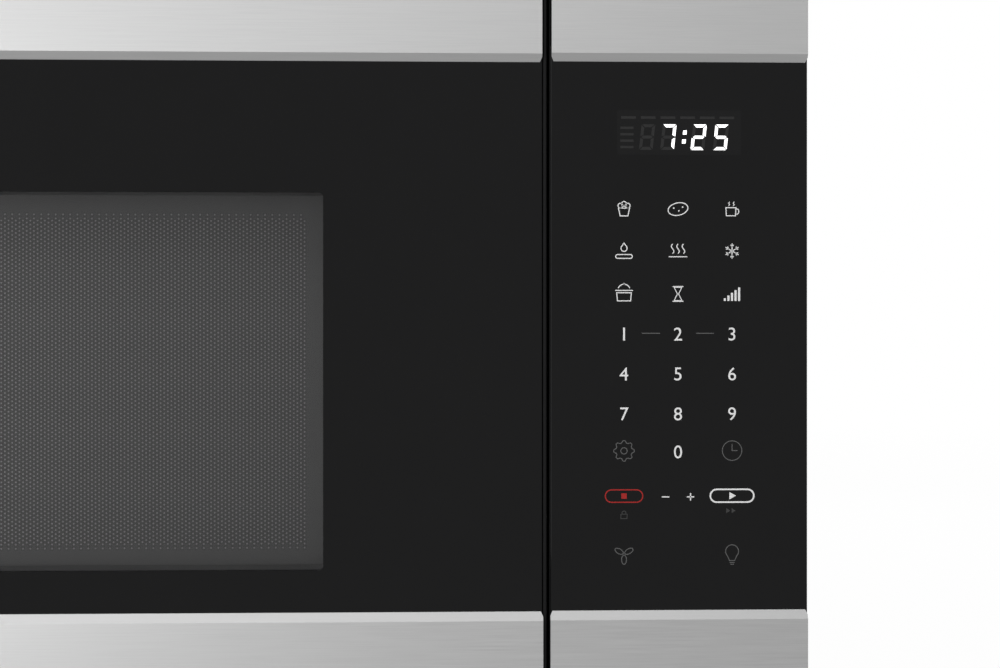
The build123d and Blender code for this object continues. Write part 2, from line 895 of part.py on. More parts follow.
def make_door_top_band():
    right = door_right - band_inset_top
    return band(-half, right, y_door_face, glass_high, door_top, bevel_top, "low")


def make_door_bottom_band():
    right = door_right - band_inset_bottom
    return band(-half, right, y_door_face, door_bottom, glass_low, bevel_bottom, "high")


def make_door_glass():
    low = glass_low - glass_lap
    high = glass_high + glass_lap
    return slab(-half + glass_left_inset, glass_right, low, high, y_glass, y_glass_back)


def door_plan(inset, y_front, y_back):
    """The door's plan. Its rear corner by the hinge is rounded, to clear the oven as it turns."""
    left = -half + inset
    right = door_right - inset
    return [
        (left, y_front, 1.5),
        (right, y_front, 0),
        (right, y_back, 1.2),
        (left, y_back, max(hinge_inset - inset, 1)),
    ]


def pocket_plan(wall):
    """The hollow behind the web, whose wall follows the door's round corner by the hinge."""
    left = -half + wall
    right = door_right - wall
    return [
        (left, y_web, 0),
        (right, y_web, 0),
        (right, y_door_back + 1, 0),
        (hinge_x, y_door_back + 1, 0),
        (hinge_x, y_door_back - wall, 0),
        (left, y_door_back - wall, hinge_inset - wall - 0.01),
    ]


def carrier(x0, x1, face, z0, z1):
    """The raised part of a moulded frame behind a steel band that runs from x0 to x1."""
    c = carrier_inset
    return block(x0 + c, x1 - c, face + band_sheet, face + band_proud + glass_thickness, z0, z1)


def rim(x0, x1, y_back, z0, z1):
    """A moulded rim that stands beside a glass, almost as far forward as its face."""
    front = y_back - glass_thickness + rim_set_back
    corner = min(rim_corner, (x1 - x0) / 3)
    plan = [(x0, front, corner), (x1, front, corner), (x1, y_back + 1, 0), (x0, y_back + 1, 0)]
    return upright(plan, z0, z1)


def latch_fittings():
    """Guides, end stop and spring seat of the latch bar, moulded on the frame's right wall."""
    left = latch_x - latch_bar_width / 2 - 2.4
    right = door_right - frame_wall
    y_front = -latch_bar_front - 0.5
    y_end = -latch_bar_front + latch_bar_depth + 2.4
    low, high = latch_bar_span()
    fittings = block(left, right, y_web, y_end, low - 3, low)
    fittings += block(left, right, y_web, y_end, high + spring_length, high + spring_length + 3)
    for z in (latch_low + 20, latch_high - 20):
        guide = block(left, right, y_web, y_end, z - 4, z + 4)
        c = guide_clearance
        fittings += guide - block(
            latch_x - latch_bar_width / 2 - c,
            latch_x + latch_bar_width / 2 + c,
            y_front + 0.5 - c,
            -latch_bar_front + latch_bar_depth + c,
            z - 5,
            z + 5,
        )
    return fittings


def latch_bar_span():
    return latch_low - 22, latch_high + 20


def bush_seat(low, high):
    return post(hinge_x, hinge_y, low, high, hinge_pin_r + bush_play + bush_wall + 3)


def make_door_frame():
    """The moulded frame that holds the door together: web, rim, window tunnel, bosses and finger pull."""
    low = door_bottom + band_sheet
    high = door_top - band_sheet
    w = frame_wall
    frame = upright(door_plan(0, y_glass_back, y_door_back), low, high)
    frame -= upright(pocket_plan(w), low + w, high - w)
    lap = glass_lap + carrier_gap
    frame += carrier(-half, door_right - band_inset_top, y_door_face, glass_high + lap, high)
    frame += carrier(-half, door_right - band_inset_bottom, y_door_face, low, glass_low - lap)
    frame += rim(door_right - rim_width, door_right, y_glass_back, low, high)
    t = tunnel_wall
    tunnel = grow([window_left, window_right, window_low, window_high], t)
    frame += slab(*tunnel, y_web - 1, y_tunnel, window_corner + t)
    frame -= slab(
        window_left, window_right, window_low, window_high, y_glass_back - 1, y_tunnel + 1, window_corner
    )
    seat = grow(choke_outer, -choke_seat_inset)
    frame += hollow_slab(seat, grow(seat, -2), y_web - 1, y_choke)
    y_cover = y_door_back - cover_sheet
    rib_pitch = (choke_outer[1] - choke_outer[0]) / frame_ribs
    for n in range(frame_ribs):
        x = choke_outer[0] + (n + 0.5) * rib_pitch
        frame += block(x - 1, x + 1, y_web - 1, y_cover, choke_outer[3] + 2, high - 1)
        if x < pull_left - 10:
            frame += block(x - 1, x + 1, y_web - 1, y_cover, low + 1, choke_outer[2] - 2)
    pull_back = y_cover - 2
    pull_front = pull_back - pull_depth
    frame += block(pull_left - 2, pull_right + 2, pull_front - 2, y_cover, low, low + pull_height + 2)
    frame -= block(pull_left, pull_right, pull_front, pull_back, low - 1, low + pull_height)
    frame += latch_fittings()
    depth = bush_depth + 2
    frame += (bush_seat(low, low + depth) + bush_seat(high - depth, high)) & block(
        -half, half, y_web - 1, y_door_back, low, high
    )
    for z0, z1 in ((low - 1, low + bush_depth), (high - bush_depth, high + 1)):
        frame -= post(hinge_x, hinge_y, z0, z1, hinge_pin_r + bush_play + bush_wall)
    return frame


def make_hinge_bushes():
    """Two flanged bushes in the door, on the hinge axis."""
    low = door_bottom + band_sheet
    high = door_top - band_sheet
    r = hinge_pin_r + bush_play
    lower = post(hinge_x, hinge_y, low, low + bush_depth, r + bush_wall)
    lower += post(hinge_x, hinge_y, lower_arm_span()[1] + bush_play, low, bush_flange_r)
    upper = post(hinge_x, hinge_y, high - bush_depth, high, r + bush_wall)
    upper += post(hinge_x, hinge_y, high, upper_arm_span()[0] - bush_play, bush_flange_r)
    bore = post(hinge_x, hinge_y, -10, unit_height, r)
    return Compound(children=[lower - bore, upper - bore])


def make_window_screen():
    """The perforated screen behind the choke panel's opening. Its holes are too fine for a solid."""
    outline = grow([window_left, window_right, window_low, window_high], tunnel_wall + screen_lap)
    return slab(*outline, y_screen, y_screen + screen_sheet, 3)


def make_inner_window():
    outline = grow([window_left, window_right, window_low, window_high], tunnel_wall + screen_lap + 3)
    y0 = y_screen + screen_sheet
    return slab(*outline, y0, y0 + inner_window_thickness, 4)


def hollow_slab(outer, inner, y0, y1):
    """A rectangular ring facing the front, given by [left, right, low, high] of its two edges."""
    ring = slab(outer[0], outer[1], outer[2], outer[3], y0, y1)
    return ring - slab(inner[0], inner[1], inner[2], inner[3], y0 - 1, y1 + 1)


def grow(edges, amount):
    return [edges[0] - amount, edges[1] + amount, edges[2] - amount, edges[3] + amount]


def make_choke_panel():
    """The pressed inner panel: a dished middle, a flat sealing land, and a slotted choke channel."""
    s = panel_sheet
    y_back = y_door_back
    y_lip = y_door_back - cover_sheet - 0.2
    window = [window_left, window_right, window_low, window_high]
    dish = [
        oven_left + land_inset,
        oven_right - land_inset,
        oven_floor + land_inset - 6,
        oven_roof - land_inset,
    ]
    panel = hollow_slab(dish, grow(window, tunnel_wall), y_tunnel, y_tunnel + s)
    panel += hollow_slab(grow(dish, s), dish, y_tunnel, y_back)
    panel += hollow_slab(choke_land, dish, y_back - s, y_back)
    panel += hollow_slab(grow(choke_land, s), choke_land, y_choke, y_back)
    panel += hollow_slab(choke_outer, choke_land, y_choke, y_choke + s)
    panel += hollow_slab(choke_outer, grow(choke_outer, -s), y_choke, y_lip)
    panel += hollow_slab(choke_outer, grow(choke_outer, -choke_lip), y_lip - s, y_lip)
    cut = choke_lip + 1
    depth = choke_depth * 0.6
    middle_x = (choke_outer[0] + choke_outer[1]) / 2
    middle_z = (choke_outer[2] + choke_outer[3]) / 2
    count_x = int((choke_outer[1] - choke_outer[0] - 30) / choke_slot_pitch)
    count_z = int((choke_outer[3] - choke_outer[2] - 30) / choke_slot_pitch)
    slots = []
    for n in range(count_x + 1):
        x = middle_x + (n - count_x / 2) * choke_slot_pitch
        for z in (choke_outer[2] + cut / 2 - 1, choke_outer[3] - cut / 2 + 1):
            slots.append(Pos(x, y_lip - depth / 2 + 1, z) * Box(choke_slot, depth + 2, cut))
    for n in range(count_z + 1):
        z = middle_z + (n - count_z / 2) * choke_slot_pitch
        for x in (choke_outer[0] + cut / 2 - 1, choke_outer[1] - cut / 2 + 1):
            slots.append(Pos(x, y_lip - depth / 2 + 1, z) * Box(cut, depth + 2, choke_slot))
    return panel - slots


def make_choke_cover():
    """The plastic inner cover of the door: it closes the choke channel and the frame behind it."""
    c = cover_clearance
    outer = [
        hinge_x,
        door_right - frame_wall - c,
        door_bottom + band_sheet + frame_wall + c,
        door_top - band_sheet - frame_wall - c,
    ]
    inner = grow(choke_land, panel_sheet + c)
    cover = hollow_slab(outer, inner, y_door_back - cover_sheet, y_door_back)
    for z in (latch_low, latch_high):
        x = latch_arm_thickness / 2 + slot_clearance
        low = z - latch_arm_height / 2 - slot_clearance
        high = z + latch_arm_height / 2 + latch_travel + slot_clearance
        cover -= block(latch_x - x, latch_x + x, y_door_back - 5, y_door_back + 1, low, high)
    return cover


def make_latch_key():
    """A sliding bar with two hooks that reach through the oven's front frame."""
    low, high = latch_bar_span()
    front = -latch_bar_front
    back = front + latch_bar_depth
    key = block(latch_x - latch_bar_width / 2, latch_x + latch_bar_width / 2, front, back, low, high)
    t = latch_arm_thickness / 2
    tip = -latch_reach
    catch = y_sheet + latch_play
    for z in (latch_low, latch_high):
        top = z + latch_arm_height / 2
        under = z - latch_arm_height / 2
        hook = [
            (back - 1, top, 0),
            (tip - 4, top, 0),
            (tip, top - 3, 1),
            (tip, under, 0),
            (catch + latch_barb_length, under - latch_barb, 0.8),
            (catch, under - latch_barb, 0.3),
            (catch, under, 0),
            (back - 1, under, 0),
        ]
        key += along_x(hook, latch_x - t, latch_x + t)
    return key


def make_latch_spring():
    """The compression spring that brings the latch bar down again."""
    low = latch_bar_span()[1] + spring_wire_r + 0.1
    height = spring_length - 2 * spring_wire_r - 0.2
    coil = Helix(pitch=height / spring_turns, height=height, radius=spring_r)
    wire = Plane(coil @ 0, z_dir=coil % 0) * RegularPolygon(spring_wire_r, 6)
    middle = -latch_bar_front + latch_bar_depth / 2
    return Pos(latch_x, middle, low) * sweep(wire, path=coil)


# Hinges and door switches


def lower_arm_span():
    return door_bottom - hinge_arm_gap - hinge_sheet, door_bottom - hinge_arm_gap


def upper_arm_span():
    return door_top + hinge_arm_gap, door_top + hinge_arm_gap + hinge_sheet


def hinge_arm(z0, z1):
    x0 = hinge_x - hinge_arm_width / 3
    x1 = x0 + hinge_arm_width
    y0 = hinge_y - 7
    back = y_sheet + hinge_sheet
    return upright([(x0, y0, 6), (x1 - 6, y0, 8), (x1, back, 0), (x0, back, 0)], z0, z1)


def make_hinge_brackets():
    """Two angle brackets: each leaf lies behind the oven's front frame, and its arm carries a pin."""
    x0 = hinge_x - hinge_arm_width / 3
    x1 = x0 + hinge_arm_width
    low = lower_arm_span()
    high = upper_arm_span()
    back = y_sheet + hinge_sheet
    lower = hinge_arm(*low) + block(x0, x1, y_sheet, back, low[0], low[0] + hinge_leaf)
    upper = hinge_arm(*high) + block(x0, x1, y_sheet, back, high[1] - hinge_leaf, high[1])
    bore = post(hinge_x, hinge_y, -10, unit_height, hinge_pin_r)
    return Compound(children=[lower - bore, upper - bore])


def make_hinge_pins():
    low = lower_arm_span()
    high = upper_arm_span()
    reach = bush_depth - 1
    lower = post(hinge_x, hinge_y, low[0], door_bottom + band_sheet + reach, hinge_pin_r)
    upper = post(hinge_x, hinge_y, door_top - band_sheet - reach, high[1], hinge_pin_r)
    return Compound(children=[lower, upper])


def switch_levels():
    """The middle heights of the micro switches: the lower hook's, the upper hook's, and one above it."""
    return latch_low, latch_high, latch_high + switch_height


def make_latch_board():
    """The moulded plate behind the front frame, with shelves between which the switches sit."""
    low = latch_low - 23
    high = latch_high + switch_height + 19
    x0 = latch_x - 7
    x1 = panel_left
    board = block(x0, x1, y_sheet, y_sheet + 3, low, high)
    for z in (latch_low, latch_high):
        gap = latch_arm_height / 2
        board -= block(latch_x - 4, latch_x + 4, y_sheet - 1, y_sheet + 4, z - gap - 7, z + gap + 7)
    s = switch_height / 2
    shelves = (latch_low - s - 3, latch_low + s, latch_high - s - 3, latch_high + s + switch_height)
    x1 = latch_x + switch_width / 2 + 2
    for z in shelves:
        board += block(x0, x1, y_sheet + 3, -switch_face + switch_depth, z, z + 3)
    return board


def make_interlock_switches():
    """Three micro switches, each with a round bore for its plunger."""
    switches = []
    for z in switch_levels():
        x = switch_width / 2
        body = block(
            latch_x - x,
            latch_x + x,
            -switch_face,
            -switch_face + switch_depth,
            z - switch_height / 2,
            z + switch_height / 2,
        )
        bore_end = -switch_face + plunger_depth + plunger_travel + 0.5
        body -= pierce(latch_x, z, -switch_face - 1, bore_end, plunger_r + running_gap)
        for tab in (-9, 0, 9):
            body += block(
                latch_x - 0.4,
                latch_x + 0.4,
                -switch_face + switch_depth,
                -switch_face + switch_depth + 6,
                z + tab - 3,
                z + tab + 3,
            )
        switches.append(body)
    return Compound(children=switches)


def plunger_rod(z):
    """A rod that starts just behind a hook's tip and ends inside its switch."""
    return pierce(latch_x, z, -latch_reach + rolling_gap, -switch_face + plunger_depth, plunger_r)


def make_lower_switch_plunger():
    return plunger_rod(latch_low)


def make_upper_switch_plunger():
    """A slider with two rods: the upper hook presses two switches at once."""
    level = switch_levels()
    front = -latch_reach + rolling_gap
    bar = block(latch_x - 3, latch_x + 3, front, front + 3, level[1] - 4, level[2] + 4)
    return bar + plunger_rod(level[1]) + plunger_rod(level[2])


# Control panel


def make_panel_housing():
    """The moulded box behind the touch glass: front web, walls, bosses, rims and band carriers."""
    low = door_bottom + band_sheet
    high = door_top - band_sheet
    w = frame_wall - 0.5
    left = panel_left
    right = panel_right
    housing = block(left, right, y_panel_glass_back, y_oven, low, high)
    housing -= block(left + w, right - w, y_panel_web, y_oven + 1, low + w, high - w)
    lap = glass_lap + carrier_gap
    housing += carrier(left + panel_band_inset_top, right, y_panel_face, panel_glass_high + lap, high)
    housing += carrier(left + panel_band_inset_bottom, right, y_panel_face, low, glass_low - lap)
    for x0, x1 in ((left, panel_glass_left - rim_gap), (panel_glass_right + rim_gap, right)):
        housing += rim(x0, x1, y_panel_glass_back, low, high)
    window = [display_left, display_right, display_low, display_high]
    housing -= slab(*window, y_panel_glass_back - 1, y_panel_web + 1, 1)
    for x in (left + housing_boss_inset, right - housing_boss_inset):
        for z in (board_low + 15, (board_low + board_high) / 2, board_high - 12):
            housing += pierce(x, z, y_panel_web - 0.5, y_panel_web + board_gap, housing_boss_r)
    for z in (board_low, (board_low + board_high) / 2, board_high - 22):
        housing += block(inside - w, inside, y_oven, y_oven + 10, z - 12, z + 12)
    return housing


def make_panel_bands():
    left_top = panel_left + panel_band_inset_top
    left_bottom = panel_left + panel_band_inset_bottom
    face = y_panel_face
    top = band(left_top, panel_right, face, panel_glass_high, door_top, bevel_top, "low")
    bottom = band(left_bottom, panel_right, face, door_bottom, glass_low, bevel_bottom, "high")
    return Compound(children=[top, bottom])


def make_panel_glass():
    low = glass_low - glass_lap
    high = panel_glass_high + glass_lap
    return slab(panel_glass_left, panel_glass_right, low, high, y_panel_glass, y_panel_glass_back)


def make_display_module():
    """The clock's lit block, in its window behind the glass, on a small circuit board."""
    window = [display_left, display_right, display_low, display_high]
    y_card = y_panel_web + card_gap
    y_card_back = y_card + card_thickness
    lit = slab(*grow(window, -0.5), y_panel_glass_back + 0.3, y_card)
    card = slab(*grow(window, 6), y_card, y_card_back)
    return lit + card + slab(*window, y_card_back, y_panel_web + board_gap)


def make_control_board():
    """The main circuit board on the housing's bosses: relays, a transformer and a capacitor."""
    y0 = y_panel_web + board_gap
    y1 = y0 + card_thickness
    left = panel_left + board_margin
    right = half - board_margin
    board = slab(left, right, board_low, board_high, y0, y1, 2)
    low = board_low + relay_rise
    for n in range(relay_count):
        x = left + 10 + n * relay_pitch
        board += block(x, x + relay_width, y1, y1 + relay_depth, low, low + relay_height)
    board += block(left + 12, left + 52, y1, y1 + 14, board_low + 57, board_low + 91)
    board += pierce(right - 24, board_low + 75, y1, y1 + 14, 7)
    return board + block(left + 20, left + 60, y1, y1 + 3, board_low + 135, board_low + 155)


# Vent grille and filters


def make_vent_grille():
    """The louvred grille above the door: an open-backed moulding with slanted blades between ribs."""
    w = grille_wall
    front = -grille_front
    top = unit_height
    outer = [(front, grille_low, 1.5), (front + 2, top, 6), (y_sheet, top, 0), (y_sheet, grille_low, 0)]
    grille = along_x(outer, -half, half)
    grille -= block(-half + w, half - w, front + w + 1, y_sheet + 1, grille_low + w, top - w)
    grille += block(-inside, half - 40, y_sheet, y_sheet + 7, grille_low, grille_low + w)
    low = grille_low + w + 3
    high = top - w - 5
    left = -half + grille_margin
    right = half - grille_margin
    grille -= slab(left, right, low, high, front - 1, front + 6, 2)
    pitch = (high - low) / louvre_count
    rise = louvre_depth * sin(radians(louvre_tilt)) / 2
    run = louvre_depth * cos(radians(louvre_tilt))
    for n in range(louvre_count):
        z = low + (n + 0.5) * pitch
        blade = [
            (front + 0.8, z - rise, 0.4),
            (front + 0.8 + run, z + rise, 0),
            (front + 0.8 + run, z + rise + louvre_thickness, 0),
            (front + 0.8, z - rise + louvre_thickness, 0.4),
        ]
        grille += along_x(blade, left - 1, right + 1)
    for n in range(1, grille_bays):
        x = left + n * (right - left) / grille_bays
        grille += block(x - 1, x + 1, front + 2.5, front + 10, low - 1, high + 1)
    return grille


def make_charcoal_filter():
    """The recirculation filter: a frame round a pad, standing behind the grille."""
    low = grille_low
    y0 = y_sheet + 9
    x = charcoal_width / 2
    pad = block(-x, x, y0, y0 + charcoal_thickness, low, low + charcoal_height)
    for y in (y0 - 1, y0 + charcoal_thickness - 3):
        pad -= block(-x + 8, x - 8, y, y + 4, low + 5, low + charcoal_height - 5)
    return pad


def make_grease_filter(x):
    """A mesh filter in a folded frame, lying over its opening, with a finger tab in the opening."""
    low = case_sheet
    left = x - filter_width / 2
    right = x + filter_width / 2
    front = filter_y - filter_depth / 2
    rear = filter_y + filter_depth / 2
    frame = deck(left, right, front, rear, low, low + filter_thickness, 3)
    frame -= deck(left + 8, right - 8, front + 8, rear - 8, low - 1, low + filter_thickness + 1, 2)
    mesh = deck(left + 7, right - 7, front + 7, rear - 7, low + 1, low + filter_thickness - 1)
    tab = deck(right - 34, right - 20, filter_y - 12, filter_y + 12, low - 0.6, low + 1, 3)
    return frame + mesh + tab


def make_left_grease_filter():
    return make_grease_filter(left_filter_x)


def make_right_grease_filter():
    return make_grease_filter(right_filter_x)


def make_cooktop_lamp_lenses():
    """Each lens fills its opening, and lies on the sheet with its rim."""
    lenses = []
    top = case_sheet + lens_thickness
    for x in (left_lens_x, right_lens_x):
        lens = lens_plate(x, -lens_clearance, 0, case_sheet, lens_corner - lens_clearance)
        lenses.append(lens + lens_plate(x, lens_rim, case_sheet, top, lens_corner + 1))
    return Compound(children=lenses)


def make_cooktop_lamps():
    """A reflector box over each lens, with a row of light-emitting diodes under its roof."""
    lamps = []
    low = case_sheet + lens_thickness
    high = low + plenum_post
    for x in (left_lens_x, right_lens_x):
        box = lens_plate(x, lens_rim, low, high, 0)
        box -= lens_plate(x, lens_rim - lamp_box_sheet, low - 1, high - 2 * lamp_box_sheet, 0)
        for n in (-1, 0, 1):
            middle = Pos(x + n * lamp_diode_pitch, lens_y, high - 2.5)
            box += middle * Box(lamp_diode_size, lamp_diode_size, 3)
        lamps.append(box)
    return Compound(children=lamps)


# Blower and exhaust


def scroll_face(inset):
    """The scroll's side view about the wheel's axis: a spiral that opens into an upright chute."""
    tongue = 75
    turn = 360 - tongue

    def at(angle):
        radius = wheel_r + scroll_gap + scroll_growth * (angle - tongue) / turn - inset
        return radius * cos(radians(angle)), radius * sin(radians(angle))

    rise = unit_height - case_sheet - blower_z + (1 if inset else 0)
    steps = 6
    edges = [Line((at(tongue)[0], rise), at(tongue))]
    for n in range(steps):
        a = tongue + n * turn / steps
        b = tongue + (n + 1) * turn / steps
        edges.append(ThreePointArc(at(a), at((a + b) / 2), at(b)))
    edges.append(Line(at(360), (at(360)[0], rise)))
    edges.append(Line((at(360)[0], rise), (at(tongue)[0], rise)))
    return make_face(edges)


def make_scroll():
    """One scroll casing on the right of the motor."""
    side = Plane((scroll_start, blower_y, blower_z), x_dir=(0, 1, 0), z_dir=(1, 0, 0))
    inner = Plane((scroll_start + scroll_wall, blower_y, blower_z), x_dir=(0, 1, 0), z_dir=(1, 0, 0))
    casing = extrude(side * scroll_face(0), scroll_end - scroll_start)
    casing -= extrude(inner * scroll_face(scroll_wall), scroll_end - scroll_start - 2 * scroll_wall)
    casing -= spindle(blower_y, blower_z, scroll_end - 3, scroll_end + 1, inlet_r)
    return casing - spindle(blower_y, blower_z, scroll_start - 1, scroll_start + 3, blower_shaft_r + 3)


def make_blower_housing():
    """Two scrolls on a common foot plate."""
    scroll = make_scroll()
    foot_low = oven_roof + oven_sheet
    foot_top = foot_low + blower_foot_sheet
    foot = block(-scroll_end, scroll_end, blower_y - 52, blower_y + 56, foot_low, foot_top)
    supports = None
    for x in (scroll_start + 10, scroll_end - 10):
        for y in (blower_y - 30, blower_y + 34):
            leg = block(x - 1, x + 1, y - 5, y + 5, foot_top, blower_z - 40)
            leg -= extrude(
                Plane((x - 2, blower_y, blower_z), x_dir=(0, 1, 0), z_dir=(1, 0, 0)) * scroll_face(0.5), 4
            )
            supports = leg if supports is None else supports + leg
    right = scroll + supports
    return right + mirror_x(right) + foot


def make_blower_motor():
    """The motor between the scrolls, on a saddle over the foot plate."""
    foot_top = oven_roof + oven_sheet + blower_foot_sheet
    motor = spindle(blower_y, blower_z, -motor_half + 6, motor_half - 6, blower_motor_r)
    motor += spindle(blower_y, blower_z, -motor_half, motor_half, blower_motor_r * 0.55)
    motor += block(-22, 22, blower_y - 24, blower_y + 24, foot_top, blower_z - 20)
    bore_end = motor_half + 1
    return motor - spindle(blower_y, blower_z, -bore_end, bore_end, blower_shaft_r + running_gap)


def wheel_blade():
    """One forward-curved blade in the wheel's side view, between the inner and outer radius."""
    lean = radians(11)
    belly = radians(3)
    middle = (wheel_r + wheel_inner_r) / 2
    half_turn = blade_thickness / 2 / middle

    def at(radius, angle):
        return radius * cos(angle), radius * sin(angle)

    tip = wheel_r - 0.3
    root = wheel_inner_r
    outer = ThreePointArc(at(root, half_turn), at(middle, belly + half_turn), at(tip, lean + half_turn))
    inner = ThreePointArc(at(tip, lean - half_turn), at(middle, belly - half_turn), at(root, -half_turn))
    ends = [Line(outer @ 1, inner @ 0), Line(inner @ 1, outer @ 0)]
    return make_face([outer, ends[0], inner, ends[1]])


def make_blower_wheel():
    """A squirrel-cage wheel on the right of the motor: hub disc, blades and end ring."""
    side = Plane((wheel_start, blower_y, blower_z), x_dir=(0, 1, 0), z_dir=(1, 0, 0))
    disc = 1.5
    hub = extrude(side * (Circle(wheel_r) - Circle(blower_shaft_r)), disc)
    hub += extrude(side * (Circle(9) - Circle(blower_shaft_r)), 14)
    end = Plane((wheel_start + wheel_length - 2, blower_y, blower_z), x_dir=(0, 1, 0), z_dir=(1, 0, 0))
    ring = extrude(end * (Circle(wheel_r) - Circle(wheel_inner_r)), 2)
    blade = wheel_blade()
    start = Plane((wheel_start + disc, blower_y, blower_z), x_dir=(0, 1, 0), z_dir=(1, 0, 0))
    blades = [
        extrude(start * Rot(0, 0, n * 360 / blade_count) * blade, wheel_length - 2 - disc)
        for n in range(blade_count)
    ]
    return hub.fuse(ring, *blades)


def make_blower_wheels():
    wheel = make_blower_wheel()
    return Compound(children=[wheel, mirror_x(wheel)])


def make_blower_shaft():
    reach = wheel_start + 16
    return spindle(blower_y, blower_z, -reach, reach, blower_shaft_r)


def make_exhaust_adaptor():
    """The duct collar on the top, with pivot holes for the flap and two stops under it."""
    x = duct_width / 2
    y0 = -duct_back - duct_depth
    y1 = -duct_back
    f = collar_flange
    s = case_sheet
    base = unit_height
    collar = block(-x - f, x + f, y0 - f, y1 + f, base, base + s)
    collar += block(-x, x, y0, y1, base, base + s + collar_height)
    collar -= block(-x + s, x - s, y0 + s, y1 - s, base - 1, base + collar_height + 5)
    for side in (-1, 1):
        for y in (y0 + s, flap_y - 12):
            wall = side * (x - s)
            stop = block(wall - 3, wall + 3, y, y + 8, flap_height - 1.6, flap_height - flap_sheet / 2)
            collar += stop & block(-x + s, x - s, y0, y1, base, base + 50)
    return collar - spindle(flap_y, flap_height, -x - 1, x + 1, flap_pin_r + running_gap)


def make_damper_flap():
    """The back-draught flap: a light plate curled round its pivot rod."""
    x = duct_width / 2 - case_sheet - 1.5
    front = -duct_back - duct_depth + case_sheet + 1.5
    half_sheet = flap_sheet / 2
    flap = block(-x, x, front, flap_y, flap_height - half_sheet, flap_height + half_sheet)
    flap += spindle(flap_y, flap_height, -x, x, flap_pin_r)
    return flap + spindle(flap_y, flap_height, -duct_width / 2, duct_width / 2, flap_pin_r)


# Electrical works in the right compartment


def make_magnetron():
    """Flange, yoke, cooling fins, magnets, filter box and antenna, on the waveguide's right face."""
    y = waveguide_y
    z = waveguide_z
    t = magnetron_sheet
    face = oven_right + oven_sheet + waveguide_depth
    start = face + t
    end = start + magnetron_length
    width = magnetron_width / 2
    height = magnetron_height / 2
    tube = block(face, start, y - width - 7, y + width + 7, z - height - 4, z + height + 4)
    tube += spindle(y, z, start, end, magnetron_anode_r)
    tube += spindle(y, z, start, start + magnet_height, magnet_r)
    tube += spindle(y, z, end - magnet_height, end, magnet_r)
    first_fin = start + magnet_height + 1.5
    for n in range(magnetron_fins):
        fin = first_fin + n * magnetron_fin_pitch
        tube += block(fin, fin + 0.8, y - width + t, y + width - t, z - height + t, z + height - t)
    tube += block(start, end, y - width, y - width + t, z - height, z + height)
    tube += block(start, end, y + width - t, y + width, z - height, z + height)
    tube += block(end - t, end, y - width, y + width, z - height, z + height)
    tube += block(end, end + 28, y - 28, y + 28, z - 26, z + 26)
    return tube + spindle(y, z, face - magnetron_antenna, face, magnetron_antenna_r)


def make_transformer_core():
    """A welded laminated core with two windows, on a foot plate."""
    x0 = core_x - core_width / 2
    x1 = core_x + core_width / 2
    y0 = core_y - core_depth / 2
    y1 = core_y + core_depth / 2
    low = case_sheet + core_foot
    high = low + core_height
    core = block(x0, x1, y0, y1, low, high)
    for side in (-1, 1):
        x = core_x + side * core_width / 4
        slot = core_window / 2
        core -= block(x - slot, x + slot, y0 - 1, y1 + 1, low + core_yoke, high - core_yoke)
    return core + block(x0 - 10, x1 + 10, y0 + 8, y1 - 8, case_sheet, low)


def make_transformer_windings():
    """The coil round the core's middle leg, standing out at both ends."""
    c = winding_clearance
    low = case_sheet + core_foot + core_yoke + 2 * c
    high = case_sheet + core_foot + core_height - core_yoke - 2 * c
    leg = core_width / 4 - core_window / 2
    depth = core_depth / 2
    x = leg + core_window - 3 * c
    y = depth + core_window - 2 * c
    coil = deck(core_x - x, core_x + x, core_y - y, core_y + y, low, high, 12)
    x = leg + c
    y = depth + c
    return coil - deck(core_x - x, core_x + x, core_y - y, core_y + y, low - 1, high + 1)


def make_hv_capacitor():
    """An oval can that stands on the base plate, with two terminals."""
    low = case_sheet
    top = low + capacitor_height
    foot = Pos(capacitor_x, capacitor_y, low)
    can = extrude(foot * SlotOverall(capacitor_width, capacitor_depth), capacitor_height)
    can += extrude(foot * SlotOverall(capacitor_width + 2, capacitor_depth + 2), 3)
    for side in (-1, 1):
        x = capacitor_x + side * terminal_spread
        can += block(x - 3, x + 3, capacitor_y - 0.5, capacitor_y + 0.5, top, top + terminal_height)
        can += post(x, capacitor_y, top, top + 3, terminal_base_r)
    return can


def make_hv_diode():
    """The high-voltage diode, screwed down beside the capacitor by its ring lug."""
    low = case_sheet
    x = capacitor_x - diode_offset
    left = x - diode_length / 2
    lug = left - diode_lead
    diode = spindle(capacitor_y, low + diode_r, left, x + diode_length / 2, diode_r)
    diode += spindle(capacitor_y, low + diode_r, lug, left, 0.8)
    return diode + post(lug - 2, capacitor_y, low, low + 6, diode_lug_r)


def make_fan_shroud():
    """A partition across the right compartment, with a collared opening for the cooling fan."""
    x0 = oven_right + oven_sheet
    plate = slab(x0, inside, shroud_low, shroud_high, fan_y, fan_y + 1)
    plate += pierce(fan_x, fan_z, fan_y - 14, fan_y, fan_r + 4)
    return plate - pierce(fan_x, fan_z, fan_y - 15, fan_y + 2, fan_r + 3)


def make_fan_motor():
    """A small motor behind the fan, on a bar across the opening."""
    front = fan_y + fan_bar_sheet + 1
    motor = pierce(fan_x, fan_z, front, front + fan_motor_length, fan_motor_r)
    reach = fan_r + 12
    side = fan_bar_width / 2
    motor += slab(fan_x - reach, fan_x + reach, fan_z - side, fan_z + side, fan_y + 1, front, 3)
    return motor - pierce(fan_x, fan_z, fan_y, fan_y + fan_shaft_length + 2, fan_shaft_r + running_gap)


